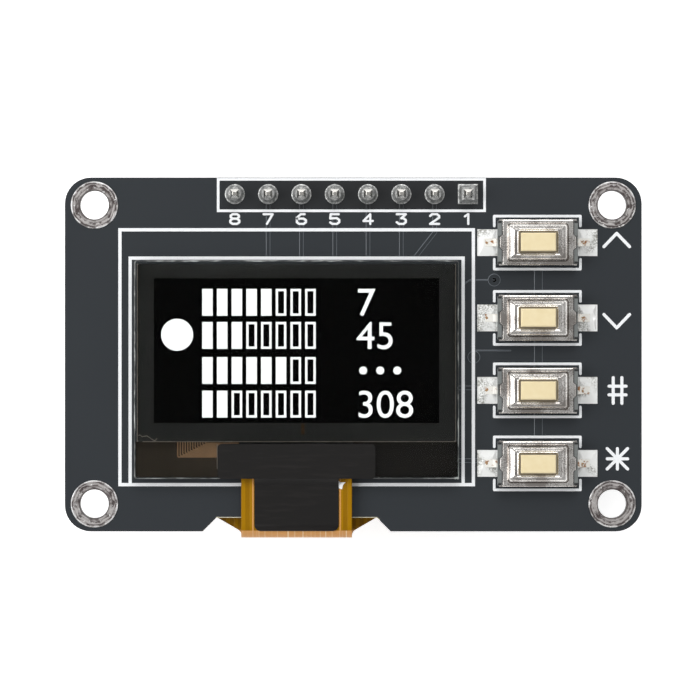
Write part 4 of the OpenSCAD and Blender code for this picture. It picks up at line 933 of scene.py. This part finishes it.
# Painted shade on the top faces: black in the slit and the corners.
painted_shade = add_node(tree, "ShaderNodeMath", {0: shade_places.outputs[0], 1: on_top.outputs[0]}, operation="MULTIPLY")
colour = add_node(tree, "ShaderNodeMix", {0: painted_shade.outputs[0], 6: clean.outputs[2], 7: linear(SLIT_SHADE)},
                  data_type="RGBA")
finish_material(tree, {"Base Color": colour.outputs[2], "Roughness": 0.5})

# Pressed stainless steel: bright rounded creases, flats left grainy by the rolled sheet, and a dark
# band of painted shade round the step. The sheet's grain, finer than 0.05 mm, is drawn coarser
# so that it shows.
STEEL, STEEL_WARM, STEP_SHADE = "#F0EDE9", "#B0AAA5", "#665E58"
STEEL_GRIT, STEP_SHADE_Z, STEP_SHADE_HALF = 0.08, 2.68, 0.065
pressed_steel, tree, place = start_material("pressed_stainless_steel")
grit = add_node(tree, "ShaderNodeTexNoise", {"Vector": place, "Scale": cells_of(STEEL_GRIT), "Detail": 4.0})
warm = add_node(tree, "ShaderNodeTexNoise", {"Vector": place, "Scale": cells_of(1.5), "Detail": 1.0})
both = add_node(tree, "ShaderNodeMath", {0: grit.outputs["Fac"], 1: warm.outputs["Fac"]},
                operation="MULTIPLY")
grain_tone = add_node(tree, "ShaderNodeMapRange", {0: both.outputs[0], 1: 0.19, 2: 0.30})
rolled = add_node(tree, "ShaderNodeMix", {0: grain_tone.outputs[0], 6: linear(STEEL_WARM), 7: linear(STEEL)},
                  data_type="RGBA")
spot = add_node(tree, "ShaderNodeSeparateXYZ", {0: place})
# Painted shade: a dark band round the step, by height.
off_line = add_node(tree, "ShaderNodeMath", {0: spot.outputs["Z"], 1: STEP_SHADE_Z * mm}, operation="SUBTRACT")
aside = add_node(tree, "ShaderNodeMath", {0: off_line.outputs[0]}, operation="ABSOLUTE")
step_shade_band = add_node(tree, "ShaderNodeMapRange", {0: aside.outputs[0], 1: (STEP_SHADE_HALF + 0.02) * mm,
                                              2: (STEP_SHADE_HALF - 0.02) * mm})
colour = add_node(tree, "ShaderNodeMix", {0: step_shade_band.outputs[0], 6: rolled.outputs[2], 7: linear(STEP_SHADE)},
                  data_type="RGBA")
bump = add_node(tree, "ShaderNodeBump", {"Height": grit.outputs["Fac"], "Strength": 0.16,
                                         "Distance": 0.02 * mm})
finish_material(tree, {"Base Color": colour.outputs[2], "Metallic": 1.0, "Roughness": 0.2,
                       "Normal": bump.outputs["Normal"]})

# Cream nylon plunger: slightly waxy, warmer where the moulding is thick. Its flange, seen only
# through the slit round it, is darkened with painted shade.
CREAM, CREAM_DEEP, FLANGE_SHADE, FLANGE_Z = "#F6E7BF", "#EBD8A9", "#9A8F7C", 3.05
cream_nylon, tree, place = start_material("cream_nylon")
waxy = add_node(tree, "ShaderNodeTexNoise", {"Vector": place, "Scale": cells_of(0.5), "Detail": 2.0})
nylon = add_node(tree, "ShaderNodeMix", {0: waxy.outputs["Fac"], 6: linear(CREAM), 7: linear(CREAM_DEEP)},
                 data_type="RGBA")
spot = add_node(tree, "ShaderNodeSeparateXYZ", {0: place})
# Painted shade darkens the plunger below the flange's height.
above = add_node(tree, "ShaderNodeMapRange", {0: spot.outputs["Z"], 1: FLANGE_Z * mm,
                                              2: (FLANGE_Z + 0.15) * mm})
colour = add_node(tree, "ShaderNodeMix", {0: above.outputs[0], 6: linear(FLANGE_SHADE), 7: nylon.outputs[2]},
                  data_type="RGBA")
bump = add_node(tree, "ShaderNodeBump", {"Height": waxy.outputs["Fac"], "Strength": 0.15,
                                         "Distance": 0.03 * mm})
finish_material(tree, {"Base Color": colour.outputs[2], "Roughness": 0.42,
                       "Normal": bump.outputs["Normal"]})

# Spring steel dome: bright, faintly straw-coloured from heat treatment.
spring_steel = clouded("spring_steel", 1, 1.0, "#CFCBC2", "#DDD6C4", {"Metallic": 1.0, "Roughness": 0.22})

# Silver-plated brass contacts: bright, with brass showing where the plating is thin.
contact = clouded("silver_plated_brass", 0.35, 2.0, "#FFFDF6", "#A0682F",
                  {"Metallic": 0.15, "Roughness": 0.3}, limits=(0.56, 0.70))

DOME_T, FLATTENED = 0.06, 0.2


def dome_rings(centre, ball_r, middle_z, low, steps=48):
    """Rings down a thin ball's slice, from beside its top to where it meets the height low."""
    half_angle = math.acos((low - middle_z) / ball_r)
    turns = [k * math.tau / steps for k in range(steps)]
    return [[(centre[0] + ball_r * math.sin(a) * math.cos(t), centre[1] + ball_r * math.sin(a) * math.sin(t),
              middle_z + ball_r * math.cos(a)) for t in turns]
            for a in (half_angle * share for share in (0.02, 0.2, 0.4, 0.6, 0.8, 1.0))]


def cover_ring(half_x, half_y, corner, z, tab=0.0, steps=6):
    """One ring of a cover: a round-cornered rectangle whose two ends may stand out as tabs."""
    right = [(half_x + tab, -TAB_HALF), (half_x + tab, TAB_HALF), (half_x, TAB_ROOT)]
    left = [(-half_x, TAB_ROOT), (-half_x - tab, TAB_HALF), (-half_x - tab, -TAB_HALF), (-half_x, -TAB_ROOT)]
    quarters = ((1, 1, 0), (-1, 1, math.pi / 2), (-1, -1, math.pi), (1, -1, 1.5 * math.pi))
    rounds = [[(sx * (half_x - corner) + corner * math.cos(a), sy * (half_y - corner) + corner * math.sin(a))
               for a in (start + k * math.pi / 2 / steps for k in range(steps + 1))]
              for sx, sy, start in quarters]
    around = right + rounds[0] + rounds[1] + left + rounds[2] + rounds[3] + [(half_x, -TAB_ROOT)]
    return [(x, y, z) for x, y in around]


# The cover's section, as rings of half length, half width, corner radius, height and tab: round the
# rim's bent edge, over the flat rim, up the steep step and the slope behind it, over a low bead to
# the flat top, round the lip of the opening and back beneath.
RIM_Z, TOP_Z, STEEL_T = 2.57, 3.15, 0.12
EDGE_IN_X, EDGE_IN_Y, EDGE_DROP, STEP_BEND = 0.06, 0.15, 0.16, 0.40
COVER = [(2.58, 1.64, 0.05, RIM_Z - EDGE_DROP, TAB_OUT)]
for tilt in (90, 75, 62, 52, 43, 34, 24, 12, 0):
    out, up = math.sin(math.radians(tilt)), math.cos(math.radians(tilt))
    COVER.append((RIM_HALF_X - EDGE_IN_X * (1 - out), RIM_HALF_Y - EDGE_IN_Y * (1 - out), 0.05,
                  RIM_Z - EDGE_DROP * (1 - up), TAB_OUT))
COVER += [(2.35, 1.475, 0.26, RIM_Z), (2.295, 1.43, 0.25, RIM_Z + 0.10), (2.245, 1.385, 0.25, RIM_Z + 0.19)]
for tilt in (66, 58, 50, 43, 36, 30):
    out, up = math.sin(math.radians(tilt)), math.cos(math.radians(tilt))
    COVER.append((1.845 + STEP_BEND * out, 0.985 + STEP_BEND * out, 0.22, RIM_Z + 0.10 + STEP_BEND * up))
COVER += [(half_x, half_y, corner, TOP_Z - down) for half_x, half_y, corner, down in (
    (1.90, 1.065, 0.16, 0.072), (1.865, 1.035, 0.16, 0.045), (1.83, 1.01, 0.16, 0.012),
    (1.80, 0.99, 0.155, 0.002), (1.76, 0.97, 0.15, 0.006), (1.68, 0.925, 0.15, 0.028),
    (1.65, 0.912, 0.15, 0.032), (1.58, 0.92, 0.15, 0.032), (1.565, 0.908, 0.15, 0.026),
    (1.54, 0.885, 0.15, 0.008), (1.52, 0.868, 0.15, 0.003), (1.50, 0.85, 0.15, 0.008),
    (1.465, 0.822, 0.15, 0.036), (1.445, 0.806, 0.15, 0.07), (1.435, 0.80, 0.15, STEEL_T))]
UNDER_TOP, UNDER_RIM = TOP_Z - STEEL_T, RIM_Z - STEEL_T
COVER += [(1.74, 0.93, 0.15, UNDER_TOP - 0.02), (2.0, 1.16, 0.18, RIM_Z + 0.30),
          (2.10, 1.25, 0.2, RIM_Z + 0.20), (2.14, 1.28, 0.2, RIM_Z - 0.02), (2.18, 1.31, 0.2, UNDER_RIM),
          (2.48, 1.57, 0.05, UNDER_RIM, TAB_OUT), (2.55, 1.62, 0.05, UNDER_RIM - 0.03, TAB_OUT)]
# Skirts hang from the rim's long sides, wider below their top, and a tab from each end. They start a
# little under the rim's bent edge.
SKIRT_TOP, SKIRT_NECK, SKIRT_FOOT, SKIRT_HALF = RIM_Z - 0.16, RIM_Z - 0.22, RIM_Z - 0.72, 2.96
SKIRTS = [(RIM_HALF_X, SKIRT_NECK, SKIRT_TOP), (SKIRT_HALF, SKIRT_FOOT, SKIRT_NECK)]
TAB_END = RIM_HALF_X + TAB_OUT
for i, y in enumerate(switch_y, 1):
    rings = [[(switch_x + px, y + py, pz) for px, py, pz in cover_ring(*ring)] for ring in COVER]
    points, faces = stacked(rings)
    size, last = len(rings[0]), len(points) - len(rings[0])
    faces = faces[2:] + [(last + k, last + (k + 1) % size, (k + 1) % size, k) for k in range(size)]
    skirts = [block(switch_x - half, switch_x + half, y + inside, y + outside, low, high)
              for inside, outside in ((-RIM_HALF_Y, STEEL_T - RIM_HALF_Y), (RIM_HALF_Y - STEEL_T, RIM_HALF_Y))
              for half, low, high in SKIRTS]
    tabs = [block(switch_x + inside, switch_x + outside, y - TAB_HALF, y + TAB_HALF, SKIRT_FOOT, SKIRT_TOP)
            for inside, outside in ((-TAB_END, STEEL_T - TAB_END), (TAB_END - STEEL_T, TAB_END))]
    cover = piece(f"pressed_cover_{i}", [(points, faces)] + skirts + tabs, pressed_steel)
    cover.data.shade_smooth()
    cover.data.set_sharp_from_angle(angle=math.radians(50))
    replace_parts(cover, f"switch_cover_{i}")
    dress(grey_moulding, [f"switch_base_{i}"], soften=0.04)
    dress(cream_nylon, [f"switch_plunger_{i}"], soften=0.02)
    dome_low, dome_high = ends(f"switch_dome_{i}")
    rise, reach = dome_high.z - dome_low.z, (dome_high.x - dome_low.x) / 2
    ball_r = (reach ** 2 + rise ** 2) / (2 * rise)
    inside = dome_rings((switch_x, y), ball_r - DOME_T, dome_high.z - ball_r, dome_low.z)
    outside = dome_rings((switch_x, y), ball_r, dome_high.z - ball_r, dome_low.z)
    dome = piece(f"snap_dome_{i}", [stacked(inside + outside[::-1])], spring_steel)
    dome.data.shade_smooth()
    dome.data.set_sharp_from_angle(angle=math.radians(30))
    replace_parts(dome, f"switch_dome_{i}")
    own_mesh(dome)
    dress(contact, [f"left_contact_{i}", f"right_contact_{i}"], soften=0.02)
dress(levelled_tin, ["switch_solder"], soften=0.03)

# Flux that boiled out beside the contacts' feet: brown glassy drops.
rosin = clouded("burnt_rosin_flux", 0.12, 2.0, "#5B371A", "#D9B083", {"Roughness": 0.25})
SOLDER_T, FOOT_T = 0.05, 0.12
FOOT_TOP = FACE + SOLDER_T + FOOT_T
drops = random.Random(7)


def drop(x, y, size, sides=11):
    """A low drop with a wandering rim, on the top of a contact's foot."""
    rim_at = [size * drops.uniform(0.65, 1.2) for _ in range(sides)]
    turns = [k * math.tau / sides for k in range(sides)]
    levels = ((1.0, FOOT_TOP - 0.006), (0.8, FOOT_TOP + 0.008), (0.35, FOOT_TOP + 0.014))
    return stacked([[(x + r * share * math.cos(a), y + r * share * math.sin(a), z)
                     for r, a in zip(rim_at, turns)] for share, z in levels])


LEFT_FOOT, RIGHT_FOOT = -3.86, 3.55
solids = []
for y in switch_y:
    solids.append(drop(switch_x + LEFT_FOOT, y + drops.uniform(-0.05, 0.05), 0.13))
    for _ in range(4):
        solids.append(drop(switch_x + RIGHT_FOOT + drops.uniform(-0.22, 0.22), y + drops.uniform(-0.17, 0.17),
                           drops.uniform(0.05, 0.10)))
piece("flux_drops", solids, rosin)


# ------------------------------------------------- stage, lamps and camera
# A pale floor under the pin tips, a sky that is brighter low down than overhead, and two soft
# boxes. The camera looks straight down at the module's face.
# Matt white paper: very faint clouds, no shine. It glows a little to the camera, to metal and to
# glass, which keeps it pale, and takes the module's shadow.
FLOOR_GLOW, FLOOR_DROP, FLOOR_HALF = 0.6, 0.05, 600
floor_material, tree, place = start_material("matt_white_paper")
paper = add_node(tree, "ShaderNodeTexNoise", {"Vector": place, "Scale": cells_of(3), "Detail": 2.0})
pale = add_node(tree, "ShaderNodeMix", {0: paper.outputs["Fac"], 6: linear("#F4F4F4"), 7: linear("#F7F7F7")},
                data_type="RGBA")
ray = add_node(tree, "ShaderNodeLightPath")
by_metal = add_node(tree, "ShaderNodeMath", {0: ray.outputs["Is Camera Ray"],
                                             1: ray.outputs["Is Glossy Ray"]}, operation="MAXIMUM")
seen = add_node(tree, "ShaderNodeMath", {0: by_metal.outputs[0], 1: ray.outputs["Is Transmission Ray"]},
                operation="MAXIMUM")
lift = add_node(tree, "ShaderNodeMath", {0: seen.outputs[0], 1: FLOOR_GLOW}, operation="MULTIPLY")
finish_material(tree, {"Base Color": pale.outputs[2], "Roughness": 0.9, "Specular IOR Level": 0.0,
                       "Emission Color": linear("#FFFFFF"), "Emission Strength": lift.outputs[0]})
floor_z = cad_box[0][2] / mm - FLOOR_DROP
corners = [(-FLOOR_HALF, -FLOOR_HALF), (FLOOR_HALF, -FLOOR_HALF), (FLOOR_HALF, FLOOR_HALF),
           (-FLOOR_HALF, FLOOR_HALF)]
floor_mesh = bpy.data.meshes.new("floor")
floor_mesh.from_pydata([(x * mm, y * mm, floor_z * mm) for x, y in corners], [], [(0, 1, 2, 3)])
floor_mesh.materials.append(floor_material)
floor = bpy.data.objects.new("floor", floor_mesh)
bpy.context.scene.collection.objects.link(floor)

sky = bpy.data.worlds.new("studio")
bpy.context.scene.world = sky
sky.use_nodes = True
sky.node_tree.nodes.clear()
tree = sky.node_tree
way = add_node(tree, "ShaderNodeTexCoord")
height = add_node(tree, "ShaderNodeSeparateXYZ", {0: way.outputs["Generated"]})
LOW_SKY, HIGH_SKY, OVERHEAD = 0.18, 0.45, 0.38
level = add_node(tree, "ShaderNodeMapRange", {0: height.outputs["Z"], 1: LOW_SKY, 2: HIGH_SKY, 3: 1.0,
                                              4: OVERHEAD}, interpolation_type="SMOOTHSTEP")
shell = add_node(tree, "ShaderNodeBackground", {"Color": linear("#FFFFFF"), "Strength": level.outputs[0]})
add_node(tree, "ShaderNodeOutputWorld", {"Surface": shell.outputs[0]})


def soft_box(name, place, size, power):
    """A square lamp with a soft edge to its shadows, aimed at the module."""
    light = bpy.data.lights.new(name, "AREA")
    light.shape, light.size, light.energy = "SQUARE", size * mm, power
    lamp = bpy.data.objects.new(name, light)
    lamp.location = Vector(place) * mm
    lamp.rotation_euler = (-Vector(place)).to_track_quat("-Z", "Y").to_euler()
    bpy.context.scene.collection.objects.link(lamp)


soft_box("left_box", (-400, 30, 340), 340, 1.5)
soft_box("top_box", (20, 330, 400), 260, 1.0)

AIM, DISTANCE, FIELD = (-0.25, 0.34), 350, 53.4
lens = bpy.data.cameras.new("camera")
lens.sensor_width, lens.lens = 36, 36 * DISTANCE / FIELD
lens.clip_start = 0.01
camera = bpy.data.objects.new("camera", lens)
camera.location = (AIM[0] * mm, AIM[1] * mm, (FACE + DISTANCE) * mm)
bpy.context.scene.collection.objects.link(camera)
bpy.context.scene.camera = camera
bpy.context.scene.view_settings.view_transform = "Standard"

bpy.context.view_layer.update()
